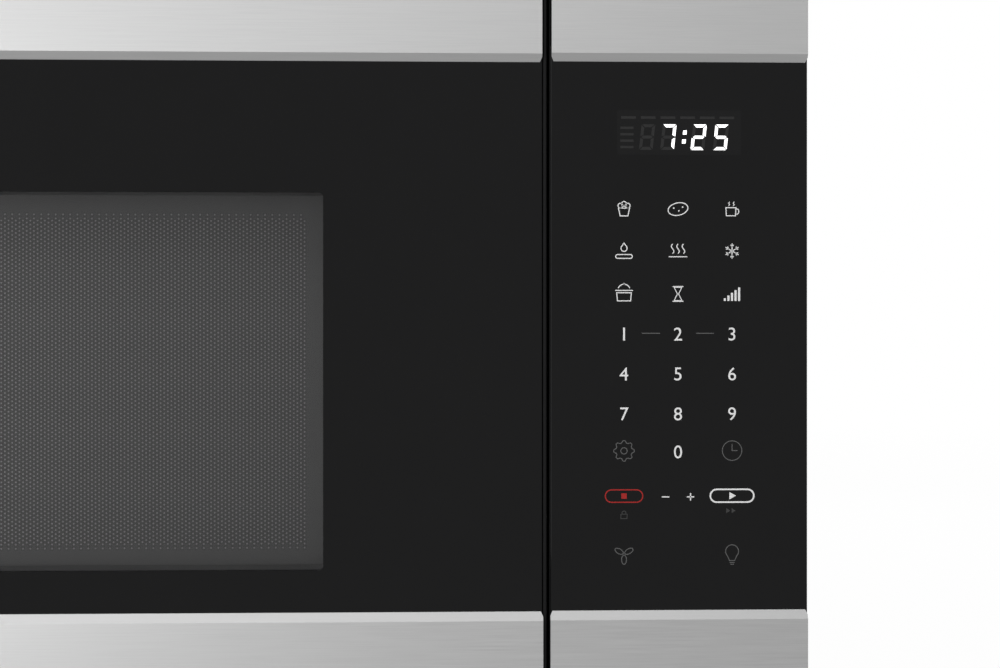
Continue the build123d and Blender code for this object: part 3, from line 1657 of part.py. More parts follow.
def make_fan_blades():
    """A hub with pitched blades, on a shaft into the motor."""
    fan = pierce(fan_x, fan_z, fan_y - 15, fan_y - 2, fan_hub_r)
    for n in range(fan_blade_count):
        blade = Pos(0, 0, fan_hub_r - 2) * Rot(0, 0, fan_pitch_angle) * Box(
            fan_chord, fan_blade, fan_r - fan_hub_r + 1.5, align=(Align.CENTER, Align.CENTER, Align.MIN)
        )
        blade = Pos(fan_x, fan_y - 8, fan_z) * Rot(0, n * 360 / fan_blade_count, 0) * blade
        fan += blade & pierce(fan_x, fan_z, fan_y - 15, fan_y - 1, fan_r)
    return fan + pierce(fan_x, fan_z, fan_y - 2, fan_y + fan_shaft_length, fan_shaft_r)


makers = {
    "wall_plate": make_wall_plate,
    "rear_panel": make_rear_panel,
    "outer_case": make_outer_case,
    "base_plate": make_base_plate,
    "case_screws": make_case_screws,
    "cord_grommet": make_cord_grommet,
    "oven_cavity": make_oven_cavity,
    "front_plate": make_front_plate,
    "waveguide": make_waveguide,
    "waveguide_cover": make_waveguide_cover,
    "cavity_lamp": make_cavity_lamp,
    "turntable_motor": make_turntable_motor,
    "turntable_coupler": make_turntable_coupler,
    "glass_tray": make_glass_tray,
    "roller_ring": make_roller_ring,
    "door_top_band": make_door_top_band,
    "door_bottom_band": make_door_bottom_band,
    "door_glass": make_door_glass,
    "door_frame": make_door_frame,
    "hinge_bushes": make_hinge_bushes,
    "window_screen": make_window_screen,
    "inner_window": make_inner_window,
    "choke_panel": make_choke_panel,
    "choke_cover": make_choke_cover,
    "latch_key": make_latch_key,
    "latch_spring": make_latch_spring,
    "hinge_brackets": make_hinge_brackets,
    "hinge_pins": make_hinge_pins,
    "latch_board": make_latch_board,
    "interlock_switches": make_interlock_switches,
    "lower_switch_plunger": make_lower_switch_plunger,
    "upper_switch_plunger": make_upper_switch_plunger,
    "panel_housing": make_panel_housing,
    "panel_bands": make_panel_bands,
    "panel_glass": make_panel_glass,
    "display_module": make_display_module,
    "control_board": make_control_board,
    "vent_grille": make_vent_grille,
    "charcoal_filter": make_charcoal_filter,
    "left_grease_filter": make_left_grease_filter,
    "right_grease_filter": make_right_grease_filter,
    "cooktop_lamp_lenses": make_cooktop_lamp_lenses,
    "cooktop_lamps": make_cooktop_lamps,
    "blower_housing": make_blower_housing,
    "blower_motor": make_blower_motor,
    "blower_wheels": make_blower_wheels,
    "blower_shaft": make_blower_shaft,
    "exhaust_adaptor": make_exhaust_adaptor,
    "damper_flap": make_damper_flap,
    "magnetron": make_magnetron,
    "transformer_core": make_transformer_core,
    "transformer_windings": make_transformer_windings,
    "hv_capacitor": make_hv_capacitor,
    "hv_diode": make_hv_diode,
    "fan_shroud": make_fan_shroud,
    "fan_motor": make_fan_motor,
    "fan_blades": make_fan_blades,
}


def build():
    os.makedirs("parts", exist_ok=True)
    for name, maker in makers.items():
        export_step(maker(), f"parts/{name}.step")
    for n in range(roller_count):
        export_step(make_roller(n), f"parts/roller_{n + 1}.step")


build()
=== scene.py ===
from math import atan2, cos, pi, radians, sin, tan

import bpy
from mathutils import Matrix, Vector


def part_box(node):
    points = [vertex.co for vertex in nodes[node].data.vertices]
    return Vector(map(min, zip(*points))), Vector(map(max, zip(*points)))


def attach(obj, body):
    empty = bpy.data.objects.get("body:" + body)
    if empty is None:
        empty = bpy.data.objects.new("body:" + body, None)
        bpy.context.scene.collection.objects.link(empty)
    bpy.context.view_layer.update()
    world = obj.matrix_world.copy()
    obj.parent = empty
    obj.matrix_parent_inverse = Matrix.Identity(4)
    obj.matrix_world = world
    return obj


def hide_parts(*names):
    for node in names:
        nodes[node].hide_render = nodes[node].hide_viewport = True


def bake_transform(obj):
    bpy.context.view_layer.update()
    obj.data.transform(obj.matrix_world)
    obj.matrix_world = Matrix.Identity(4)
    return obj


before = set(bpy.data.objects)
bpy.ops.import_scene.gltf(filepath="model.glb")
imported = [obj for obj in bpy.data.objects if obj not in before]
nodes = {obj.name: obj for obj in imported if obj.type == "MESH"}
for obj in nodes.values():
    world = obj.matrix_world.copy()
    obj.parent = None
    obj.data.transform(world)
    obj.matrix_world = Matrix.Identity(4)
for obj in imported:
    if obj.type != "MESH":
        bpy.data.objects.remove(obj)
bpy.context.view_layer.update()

# An over-the-range microwave oven, with its door at the left and its touch panel at the right. The solids
# of the frame keep their shapes and get their finishes here. Both glasses, the perforated screen and the
# latch's spring are replaced by finer meshes, and the panel's marks and the clock are added.

# Places and sizes are in millimetres, in the CAD model's frame, and mm turns them into metres.
# Camera, lamps and floor are in metres.
mm = 0.001


def node_box(name):
    """The low and high corner of a CAD node, in millimetres."""
    low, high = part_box(name)
    return low / mm, high / mm


door_glass_low, door_glass_high = node_box("door_glass")
panel_glass_low, panel_glass_high = node_box("panel_glass")
screen_low, screen_high = node_box("window_screen")

# The clear window in the door's black glass
window_left = -264.5
window_right = 128.9
window_low = 69.6
window_high = 263.0
window_corner = 2.2
corner_steps = 6
door_glass_edge = 0.35
panel_glass_edge = 0.15

# The door frame's grey coat: the walls of the window's tunnel, between the glass and the screen
coat_margin = 1
coat_start = 0.5
coat_colour = (0.15, 0.15, 0.15)

# The perforated screen: holes in upright columns, every second column one and a half pitches lower
hole_columns = 199
hole_rows = 80
row_pitch = 2.17
column_pitch = row_pitch * cos(radians(30))
column_step = 1.5 * row_pitch
hole_radius = 0.52
screen_top = 254.03
screen_middle = -68.07
screen_inset = 0.05

# The latch's spring
spring_wire_radius = 0.5
spring_turns = 5
spring_steps = 28
spring_sides = 10

# Marks on the control panel
mark_thickness = 0.03
mark_columns = (283.5, 311.45, 339.5)
programme_rows = (254.9, 233.3, 211.1)
digit_rows = (190.4, 169.8, 149.2)
zero_row = 129.6
start_row = 106.9
second_row = 97.2
fan_row = 76.4
digit_height = 6.7
bold_pen = 0.8
key_pen = 0.6
pen = 0.5
thin_pen = 0.42
finest_pen = 0.35
dot_steps = 8
pill_steps = 10

# The clock in the display: digits of seven slanted segments, with unlit bars beside and above them
display_window = (279.9, 282.9, 344.1, 305.9)
clock_base = 285.4
clock_digits = ((291.2, " "), (302.2, "7"), (317.9, "2"), (329.5, "5"))
clock_slant = tan(radians(6))
segments_lit = {"2": "abdeg", "5": "acdfg", "7": "abc"}
clock_digit_width = 7.1
clock_digit_height = 13.2
segment_width = 1.55
segment_gap = 0.34
colon_left = 313.0
colon_rows = (4.4, 9.0)
colon_dot = ((0, -1.05), (1.9, -1.05), (2.1, 1.05), (0.2, 1.05))


# Camera and light


def make_camera():
    """The photograph's view: level, from in front of the control panel, turned a little to the right."""
    data = bpy.data.cameras.new("camera")
    data.lens = 76.75
    data.sensor_width = 36.0
    data.clip_start = 0.05
    data.clip_end = 60.0
    camera = bpy.data.objects.new("camera", data)
    camera.location = (0.17285, -1.48066, 0.19043)
    camera.rotation_euler = (radians(90), 0, radians(-2.44))
    bpy.context.scene.collection.objects.link(camera)
    bpy.context.scene.camera = camera


def make_lamps():
    """Five soft lamps on the front and one behind, each with place, target, size and power in watts."""
    front = (0.1, -0.39, 0.2)
    lamps = (
        ("key", (-0.85, -1.9, 0.25), front, (0.8, 0.75), 9.6),
        ("low", (-0.62, -2.2, 0.1), front, (0.35, 0.5), 5.2),
        ("top", (0.2, -1.8, 1.9), front, (1.6, 0.8), 7.3),
        ("side_top", (-0.9, -1.6, 1.8), front, (1.0, 0.8), 8.7),
        ("front", (0.1, -2.7, 1.2), front, (1.0, 0.8), 6),
        ("back", (0.6, 2.8, 1.5), (0, -0.1, 0.2), (3.2, 2.2), 30),
    )
    for name, place, target, size, power in lamps:
        data = bpy.data.lights.new(name, "AREA")
        data.shape = "RECTANGLE"
        data.size, data.size_y = size
        data.energy = power
        light = bpy.data.objects.new(name, data)
        light.location = place
        light.rotation_euler = (Vector(target) - Vector(place)).to_track_quat("-Z", "Y").to_euler()
        bpy.context.scene.collection.objects.link(light)


def set_inputs(node, values):
    """Sets fixed values on a node's inputs, whose names may have _ for spaces."""
    for name, value in values.items():
        node.inputs[name.replace("_", " ")].default_value = value


def add_node(tree, kind, **values):
    """A new node with fixed values on some of its inputs."""
    node = tree.nodes.new(kind)
    set_inputs(node, values)
    return node


def map_range(tree, value, source, target):
    """The value, carried over from one range to another."""
    node = add_node(tree, "ShaderNodeMapRange")
    set_inputs(node, {"From Min": source[0], "From Max": source[1]})
    set_inputs(node, {"To Min": target[0], "To Max": target[1]})
    tree.links.new(value, node.inputs["Value"])
    return node.outputs["Result"]


def calculate(tree, kind, operation, *values):
    """A node that calculates with its inputs, each a socket to link or a fixed value."""
    node = add_node(tree, kind)
    node.operation = operation
    for socket, value in zip(node.inputs, values):
        if isinstance(value, bpy.types.NodeSocket):
            tree.links.new(value, socket)
        else:
            socket.default_value = value
    return node


def number(tree, operation, *values):
    """The result of a calculation with numbers."""
    return calculate(tree, "ShaderNodeMath", operation, *values).outputs["Value"]


def vector(tree, operation, *values):
    """The result of a calculation with vectors, where it is a vector too."""
    return calculate(tree, "ShaderNodeVectorMath", operation, *values).outputs["Vector"]


def mix_shaders(tree, share, first, second):
    """The first shader where the share is 0, and the second where it is 1."""
    mix = add_node(tree, "ShaderNodeMixShader")
    for socket, value in zip(mix.inputs, (share, first, second)):
        tree.links.new(value, socket)
    return mix.outputs["Shader"]


def seen_or_mirrored(tree):
    """1 for the camera's rays and those that come by a mirror or through glass, otherwise 0."""
    path = add_node(tree, "ShaderNodeLightPath")
    ray = path.outputs["Is Camera Ray"]
    for kind in ("Is Glossy Ray", "Is Transmission Ray"):
        ray = number(tree, "MAXIMUM", ray, path.outputs[kind])
    return ray


def make_world():
    """A dim room for the object's light, and plain white for what is seen or mirrored."""
    world = bpy.data.worlds.new("studio")
    world.use_nodes = True
    tree = world.node_tree
    tree.nodes.clear()
    room = add_node(tree, "ShaderNodeBackground", Color=(1, 1, 1, 1), Strength=0.35).outputs["Background"]
    white = add_node(tree, "ShaderNodeBackground", Color=(1, 1, 1, 1), Strength=1.0).outputs["Background"]
    output = add_node(tree, "ShaderNodeOutputWorld")
    tree.links.new(mix_shaders(tree, seen_or_mirrored(tree), room, white), output.inputs["Surface"])
    bpy.context.scene.world = world


def make_floor():
    """A pale floor that keeps the object's shadow, fades to white far away and is clear from below."""
    size = 30.0
    drop = -0.16
    near_and_far = (1.0, 7.0)
    white_shares = (0.97, 1.0)
    mesh = bpy.data.meshes.new("floor")
    corners = [(-size, -size, drop), (size, -size, drop), (size, size, drop), (-size, size, drop)]
    mesh.from_pydata(corners, [], [(0, 1, 2, 3)])
    floor = bpy.data.objects.new("floor", mesh)
    bpy.context.scene.collection.objects.link(floor)
    material = bpy.data.materials.new("pale_floor")
    material.use_nodes = True
    tree = material.node_tree
    paint = tree.nodes["Principled BSDF"]
    set_inputs(paint, {"Base Color": (0.86, 0.86, 0.86, 1), "Roughness": 0.9, "Specular IOR Level": 0.1})
    white = add_node(tree, "ShaderNodeEmission", Strength=1.0)
    clear = add_node(tree, "ShaderNodeBsdfTransparent")
    place = add_node(tree, "ShaderNodeTexCoord")
    away = calculate(tree, "ShaderNodeVectorMath", "LENGTH", place.outputs["Object"]).outputs["Value"]
    fade = map_range(tree, away, near_and_far, white_shares)
    share = number(tree, "MULTIPLY", seen_or_mirrored(tree), fade)
    from_above = mix_shaders(tree, share, paint.outputs["BSDF"], white.outputs["Emission"])
    below = add_node(tree, "ShaderNodeNewGeometry").outputs["Backfacing"]
    surface = mix_shaders(tree, below, from_above, clear.outputs["BSDF"])
    tree.links.new(surface, tree.nodes["Material Output"].inputs["Surface"])
    mesh.materials.append(material)


# Materials


materials = {}


def diamonds(tree, place):
    """The higher of two sets of ridges that cross: expanded metal."""
    ridges = []
    for turn in (radians(30), radians(-30)):
        rotate = add_node(tree, "ShaderNodeMapping", Rotation=(0, 0, turn))
        tree.links.new(place, rotate.inputs["Vector"])
        wave = add_node(tree, "ShaderNodeTexWave", Scale=1.0)
        tree.links.new(rotate.outputs["Vector"], wave.inputs["Vector"])
        ridges.append(wave.outputs["Fac"])
    return number(tree, "MAXIMUM", *ridges)


def cells(tree, place):
    """Flat cells, each of its own value: the spangle of galvanised sheet."""
    texture = add_node(tree, "ShaderNodeTexVoronoi", Scale=1.0)
    tree.links.new(place, texture.inputs["Vector"])
    split = add_node(tree, "ShaderNodeSeparateColor")
    tree.links.new(texture.outputs["Color"], split.inputs["Color"])
    return split.outputs["Red"]


def noise(tree, place, detail):
    """Cloudy noise, for grain, brushing and moulded texture."""
    texture = add_node(tree, "ShaderNodeTexNoise", Scale=1.0, Detail=detail, Roughness=0.6)
    tree.links.new(place, texture.inputs["Vector"])
    return texture.outputs["Fac"]


def textured(
    name, colour, roughness, metallic=0.0, scale=(400,) * 3, tint=0.06, polish=0.05, bump=0.0, detail=3.0,
    pattern=None, **constants
):
    """A procedural surface, kept in materials under its name.

    One pattern, stretched by scale, varies the colour by the share tint and the roughness by polish, and
    raises a relief of bump millimetres. What constants names is set on the shader as it is.
    """
    steep = (0.3, 0.7)
    material = bpy.data.materials.new(name)
    material.use_nodes = True
    tree = material.node_tree
    shader = tree.nodes["Principled BSDF"]
    set_inputs(shader, {"Metallic": metallic, **constants})
    place = add_node(tree, "ShaderNodeTexCoord")
    stretch = add_node(tree, "ShaderNodeMapping", Scale=scale)
    tree.links.new(place.outputs["Object"], stretch.inputs["Vector"])
    stretched = stretch.outputs["Vector"]
    value = pattern(tree, stretched) if pattern else noise(tree, stretched, detail)
    ramp = add_node(tree, "ShaderNodeValToRGB")
    dark, light = ramp.color_ramp.elements
    dark.position, light.position = steep
    dark.color = [c * (1 - tint) for c in colour] + [1]
    light.color = [min(1, c * (1 + tint)) for c in colour] + [1]
    tree.links.new(value, ramp.inputs["Fac"])
    tree.links.new(ramp.outputs["Color"], shader.inputs["Base Color"])
    rough = map_range(tree, value, steep, (max(0.0, roughness - polish), min(1.0, roughness + polish)))
    tree.links.new(rough, shader.inputs["Roughness"])
    if bump:
        relief = add_node(tree, "ShaderNodeBump", Strength=0.5, Distance=bump * mm)
        tree.links.new(value, relief.inputs["Height"])
        tree.links.new(relief.outputs["Normal"], shader.inputs["Normal"])
    materials[name] = material


def make_front_materials():
    """Steel, glass, paint and mouldings that show at the front."""
    glass = {"scale": (40,) * 3, "tint": 0.1}
    screen = {"scale": (700,) * 3, "tint": 0.03, "bump": 0.01}
    moulded = {"scale": (900,) * 3, "bump": 0.03}
    brushed_along_x = (30, 2600, 2600)
    textured("band_steel", (0.323,) * 3, 0.46, 1.0, scale=brushed_along_x, tint=0.05, bump=0.012, detail=2)
    textured("black_glass", (0.0016, 0.0016, 0.0018), 0.05, polish=0.01, Specular_IOR_Level=0.15, **glass)
    textured(
        "tinted_glass", (0.004, 0.004, 0.0045), 0.05, polish=0.01, Specular_IOR_Level=0.3, Alpha=0.3,
        **glass
    )
    textured("display_tint", (0.0036, 0.0036, 0.0038), 0.06, Specular_IOR_Level=0.15, **glass)
    textured("screen_paint", (0.154,) * 3, 0.5, **screen)
    # A darker copy of the screen paint for the perforated tiles: painted shade round the holes
    textured("perforated_paint_painted_shade", (0.12,) * 3, 0.5, **screen)
    textured("black_moulding", (0.0035, 0.0035, 0.0037), 0.5, Specular_IOR_Level=0.1, **moulded)
    textured("frame_moulding", (0.0035, 0.0035, 0.0037), 0.5, Specular_IOR_Level=0.1, **moulded)
    textured("grille_moulding", (0.02, 0.02, 0.021), 0.45, Specular_IOR_Level=0.3, **moulded)


def make_print_materials():
    """Inks on the control panel, and the clock's segments."""
    for name, grey in (("white_print", 0.66), ("grey_print", 0.085), ("faint_print", 0.035)):
        textured(name, (grey,) * 3, 0.5, tint=0.02, Specular_IOR_Level=0.2)
    textured("red_print", (0.29, 0.012, 0.01), 0.5, tint=0.04, Specular_IOR_Level=0.2)
    textured("unlit_segments", (0.009,) * 3, 0.4, tint=0.05, Specular_IOR_Level=0.2)
    textured(
        "lit_segments", (1, 1, 1), 0.4, tint=0.02, Emission_Color=(1, 1, 1, 1), Emission_Strength=1.0
    )


def make_body_materials():
    """Case, oven, sheet metal, plastics and what works inside."""
    fine = (900,) * 3
    textured(
        "case_paint", (0.024, 0.024, 0.025), 0.5, scale=(1100,) * 3, tint=0.1, bump=0.06, detail=5,
        Specular_IOR_Level=0.3
    )
    textured(
        "base_paint", (0.042, 0.042, 0.044), 0.48, scale=(1100,) * 3, bump=0.05, Specular_IOR_Level=0.35
    )
    textured("enamel", (0.52, 0.52, 0.51), 0.3, scale=(500,) * 3, tint=0.03, bump=0.01)
    textured("choke_paint", (0.028, 0.028, 0.029), 0.35, scale=(500,) * 3, bump=0.01)
    textured("inner_glass", (0.54,) * 3, 0.3, scale=(60,) * 3, tint=0.03, polish=0.03, Alpha=0.85)
    textured("tray_glass", (0.62, 0.68, 0.67), 0.06, scale=(60,) * 3, tint=0.02, polish=0.02, Alpha=0.42)
    textured("frosted_lens", (0.8, 0.8, 0.77), 0.4, scale=(500,) * 3, tint=0.02, bump=0.04, Alpha=0.85)
    textured("galvanised", (0.44, 0.45, 0.46), 0.45, 0.85, scale=(130,) * 3, tint=0.05, pattern=cells)
    textured("plain_steel", (0.5, 0.5, 0.49), 0.35, 1.0, scale=(300,) * 3, tint=0.1, polish=0.1)
    textured("aluminium", (0.66, 0.66, 0.67), 0.38, 1.0, scale=(60, 900, 900), polish=0.08)
    textured(
        "filter_mesh", (0.56, 0.56, 0.57), 0.4, 1.0, scale=(160,) * 3, tint=0.45, polish=0.1, bump=0.9,
        pattern=diamonds
    )
    textured("motor_steel", (0.3,) * 3, 0.4, 0.8, tint=0.1)
    textured("laminations", (0.1, 0.09, 0.08), 0.5, 0.5, scale=(4, 2200, 4), tint=0.3, bump=0.06)
    textured("copper", (0.5, 0.2, 0.08), 0.35, 0.9, scale=(20, 20, 2600), tint=0.25, bump=0.08)
    textured("white_plastic", (0.7, 0.69, 0.65), 0.42, scale=fine, tint=0.02, bump=0.01)
    textured("black_plastic", (0.02,) * 3, 0.4, scale=fine, bump=0.02)
    textured("black_rubber", (0.015, 0.015, 0.016), 0.6, scale=fine, bump=0.04)
    textured("circuit_board", (0.02, 0.1, 0.04), 0.45, scale=(600,) * 3, tint=0.2)
    textured("mica", (0.45, 0.4, 0.3), 0.4, scale=(150,) * 3, tint=0.15, polish=0.1, bump=0.05)
    textured("charcoal", (0.014,) * 3, 0.85, scale=(350,) * 3, tint=0.5, bump=0.8)


finishes = {
    "band_steel": ["door_top_band", "door_bottom_band", "panel_bands"],
    "black_moulding": ["panel_housing", "choke_cover"],
    "frame_moulding": ["door_frame"],
    "grille_moulding": ["vent_grille"],
    "case_paint": ["outer_case"],
    "base_paint": ["base_plate"],
    "galvanised": [
        "rear_panel", "wall_plate", "exhaust_adaptor", "fan_shroud", "blower_housing", "waveguide",
    ],
    "enamel": ["oven_cavity", "front_plate"],
    "choke_paint": ["choke_panel"],
    "plain_steel": ["hinge_brackets", "hinge_pins", "case_screws", "blower_shaft"],
    "aluminium": ["damper_flap", "magnetron"],
    "filter_mesh": ["left_grease_filter", "right_grease_filter"],
    "inner_glass": ["inner_window"],
    "tray_glass": ["glass_tray"],
    "frosted_lens": ["cooktop_lamp_lenses", "cavity_lamp"],
    "white_plastic": [
        "roller_ring", "roller_1", "roller_2", "roller_3", "turntable_coupler", "hinge_bushes",
        "latch_key", "latch_board", "lower_switch_plunger", "upper_switch_plunger", "cooktop_lamps",
    ],
    "black_rubber": ["cord_grommet"],
    "black_plastic": ["interlock_switches", "display_module", "hv_diode", "blower_wheels", "fan_blades"],
    "circuit_board": ["control_board"],
    "mica": ["waveguide_cover"],
    "motor_steel": ["turntable_motor", "blower_motor", "fan_motor", "hv_capacitor"],
    "laminations": ["transformer_core"],
    "copper": ["transformer_windings"],
    "charcoal": ["charcoal_filter"],
}


def finish_nodes():
    """Gives each CAD node that stays in view its finish."""
    for finish, names in finishes.items():
        for name in names:
            mesh = nodes[name].data
            mesh.materials.clear()
            mesh.materials.append(materials[finish])


def coat_inside_box(material, owner, low, high, colour):
    """Gives a material another colour inside a box, whose corners are in millimetres."""
    tree = material.node_tree
    shader = tree.nodes["Principled BSDF"]
    to_local = owner.matrix_world.inverted()
    corner, opposite = (to_local @ (Vector(p) * mm) for p in (low, high))
    place = add_node(tree, "ShaderNodeTexCoord")
    offset = vector(tree, "SUBTRACT", place.outputs["Object"], (corner + opposite) / 2)
    share = vector(tree, "DIVIDE", offset, [abs(v) / 2 for v in opposite - corner])
    parts = add_node(tree, "ShaderNodeSeparateXYZ")
    tree.links.new(vector(tree, "ABSOLUTE", share), parts.inputs["Vector"])
    largest = number(tree, "MAXIMUM", parts.outputs["X"], parts.outputs["Y"])
    largest = number(tree, "MAXIMUM", largest, parts.outputs["Z"])
    mix = add_node(tree, "ShaderNodeMix")
    mix.data_type = "RGBA"
    outside, inside = mix.inputs[6:8]
    tree.links.new(number(tree, "LESS_THAN", largest, 1.0), mix.inputs["Factor"])
    tree.links.new(shader.inputs["Base Color"].links[0].from_socket, outside)
    inside.default_value = (*colour, 1)
    tree.links.new(mix.outputs[2], shader.inputs["Base Color"])


def coat_window_tunnel():
    """The grey coat on the part of the door's frame that shows round the screen."""
    low = (window_left - coat_margin, door_glass_high[1] + coat_start, window_low - coat_margin)
    high = (window_right + coat_margin, screen_high[1], window_high + coat_margin)
    coat_inside_box(materials["frame_moulding"], nodes["door_frame"], low, high, coat_colour)


# Meshes


def add_piece(name, points, faces, finish_names, body, face_finishes=None):
    """A mesh piece from points in millimetres, which rides on a body where one is given."""
    mesh = bpy.data.meshes.new(name)
    mesh.from_pydata([(x * mm, y * mm, z * mm) for x, y, z in points], [], faces)
    for finish in finish_names:
        mesh.materials.append(materials[finish])
    if face_finishes:
        mesh.polygons.foreach_set("material_index", face_finishes)
    mesh.update()
    piece = bpy.data.objects.new(name, mesh)
    bpy.context.scene.collection.objects.link(piece)
    if body:
        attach(piece, body)
    return piece


def bevel_edges(piece, width):
    """Rounds the sharp edges of a piece by that width in millimetres."""
    modifier = piece.modifiers.new("edge", "BEVEL")
    modifier.width = width * mm
    modifier.segments = 2
    modifier.limit_method = "ANGLE"
    modifier.angle_limit = radians(60)


def arc(x, z, radius, start, end, steps):
    """Points of an arc in the front's plane, with angles in degrees from +X towards +Z."""
    angles = [radians(start + (end - start) * n / steps) for n in range(steps + 1)]
    return [(x + radius * cos(a), z + radius * sin(a)) for a in angles]


def rectangle(left, low, right, high):
    """The corners of a rectangle in the front's plane."""
    return [(left, low), (right, low), (right, high), (left, high)]


def sheet_faces(rings, count, edge):
    """The faces of a flat sheet whose two sides have that many points each, the outer edge's first.

    They are the rings that tile the front, the same on the back, and the edge.
    """
    back = [[n + count for n in reversed(ring)] for ring in rings]
    sides = [[n, n + count, (n + 1) % edge + count, (n + 1) % edge] for n in range(edge)]
    return rings + back + sides


def make_door_glass():
    """The door's black glass, whose clear window is a face of its own with another finish."""
    x0, y0, z0 = door_glass_low
    x1, y1, z1 = door_glass_high
    r = window_corner
    left, right = window_left + r, window_right - r
    low, high = window_low + r, window_high - r
    outer = [
        (x0, z0), (left, z0), (right, z0), (x1, z0), (x1, low), (x1, high),
        (x1, z1), (right, z1), (left, z1), (x0, z1), (x0, high), (x0, low),
    ]
    centres = [(left, low, 180), (right, low, 270), (right, high, 0), (left, high, 90)]
    inner = [p for x, z, start in centres for p in arc(x, z, r, start, start + 90, corner_steps)]
    flat = outer + inner
    count, edge, bend = len(flat), len(outer), corner_steps + 1
    arcs = [[edge + k * bend + n for n in range(bend)] for k in range(4)]
    rings = []
    for k in range(4):
        before, corner, after, next_before = ((3 * k + shift) % edge for shift in (-1, 0, 1, 2))
        rings.append([before, corner, after] + arcs[k][::-1])
        rings.append([after, next_before, arcs[(k + 1) % 4][0], arcs[k][-1]])
    black, clear = 0, 1
    face_finishes = ([black] * len(rings) + [clear]) * 2 + [black] * edge
    rings.append(list(range(edge, count)))
    points = [(x, y, z) for y in (y0, y1) for x, z in flat]
    faces = sheet_faces(rings, count, edge)
    finish_names = ["black_glass", "tinted_glass"]
    door = add_piece("door_glass_pane", points, faces, finish_names, "door", face_finishes)
    bevel_edges(door, door_glass_edge)
    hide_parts("door_glass")


def make_panel_glass():
    """The control panel's black glass."""
    x0, y0, z0 = panel_glass_low
    x1, y1, z1 = panel_glass_high
    points = [(x, y, z) for y in (y0, y1) for x, z in rectangle(x0, z0, x1, z1)]
    faces = sheet_faces([[0, 1, 2, 3]], 4, 4)
    panel = add_piece("panel_glass_pane", points, faces, ["black_glass"], "root")
    bevel_edges(panel, panel_glass_edge)
    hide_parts("panel_glass")


def make_screen():
    """The perforated screen: a plain margin round tiles that each have one six-sided hole."""
    y = screen_high[1] - screen_inset
    left = screen_middle - hole_columns * column_pitch / 2
    right = left + hole_columns * column_pitch
    bottom = screen_top - hole_rows * row_pitch - column_step
    hexagon = arc(0, 0, hole_radius, 0, 360, 6)[:-1]
    # The tiles take the darker copy of the screen paint, painted shade round the holes; the margin keeps
    # the plain paint
    margin_finish, tile_painted_shade_finish = 0, 1
    points, faces, finish = [], [], []

    def add(flat):
        """Adds (x, z) points in the screen's plane, and gives their numbers."""
        start = len(points)
        points.extend((x, y, z) for x, z in flat)
        return tuple(range(start, len(points)))

    def margin(left, low, right, high):
        faces.append(add(rectangle(left, low, right, high)))
        finish.append(margin_finish)

    def tile(left, low, right, high):
        sw, se, ne, nw = add(rectangle(left, low, right, high))
        hole = at((left + right) / 2, (low + high) / 2, *hexagon)
        e, upper_e, upper_w, w, lower_w, lower_e = add(hole)
        faces.append((nw, upper_w, upper_e, ne))
        faces.append((sw, se, lower_e, lower_w))
        faces.append((se, ne, upper_e, e, lower_e))
        faces.append((nw, sw, lower_w, w, upper_w))
        finish.extend([tile_painted_shade_finish] * 4)

    margin(screen_low[0], screen_top, screen_high[0], screen_high[2])
    margin(screen_low[0], screen_low[2], screen_high[0], bottom)
    margin(screen_low[0], bottom, left, screen_top)
    margin(right, bottom, screen_high[0], screen_top)
    for column in range(hole_columns):
        x0 = left + column * column_pitch
        x1 = x0 + column_pitch
        if column % 2:
            top = screen_top
            margin(x0, bottom, x1, bottom + column_step)
        else:
            top = screen_top - column_step
            margin(x0, top, x1, screen_top)
        for row in range(hole_rows):
            z1 = top - row * row_pitch
            tile(x0, z1 - row_pitch, x1, z1)
    finish_names = ["screen_paint", "perforated_paint_painted_shade"]
    screen = add_piece("perforated_screen", points, faces, finish_names, "door", finish)
    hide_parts("window_screen")


def make_spring():
    """The latch's coil spring, as one fixed mesh."""
    low, high = node_box("latch_spring")
    x, y = (low[0] + high[0]) / 2, (low[1] + high[1]) / 2
    radius = (high[0] - low[0]) / 2 - spring_wire_radius
    bottom = low[2] + spring_wire_radius
    pitch = (high[2] - low[2] - 2 * spring_wire_radius) / spring_turns
    slope = atan2(pitch, 2 * pi * radius)
    steps = spring_turns * spring_steps
    points, faces = [], []
    for k in range(steps + 1):
        turn = 2 * pi * k / spring_steps
        for m in range(spring_sides):
            side = 2 * pi * m / spring_sides
            out = radius + spring_wire_radius * cos(side)
            across = spring_wire_radius * sin(side)
            back = across * sin(slope)
            points.append((
                x + out * cos(turn) + back * sin(turn),
                y + out * sin(turn) - back * cos(turn),
                bottom + pitch * k / spring_steps + across * cos(slope),
            ))
    for k in range(steps):
        here, there = k * spring_sides, (k + 1) * spring_sides
        for m in range(spring_sides):
            n = (m + 1) % spring_sides
            faces.append((here + m, there + m, there + n, here + n))
    faces.append(tuple(range(spring_sides)))
    faces.append(tuple(steps * spring_sides + m for m in reversed(range(spring_sides))))
    spring = add_piece("latch_coil", points, faces, ["plain_steel"], None)
    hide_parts("latch_spring")
    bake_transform(spring)


# Marks on the control panel


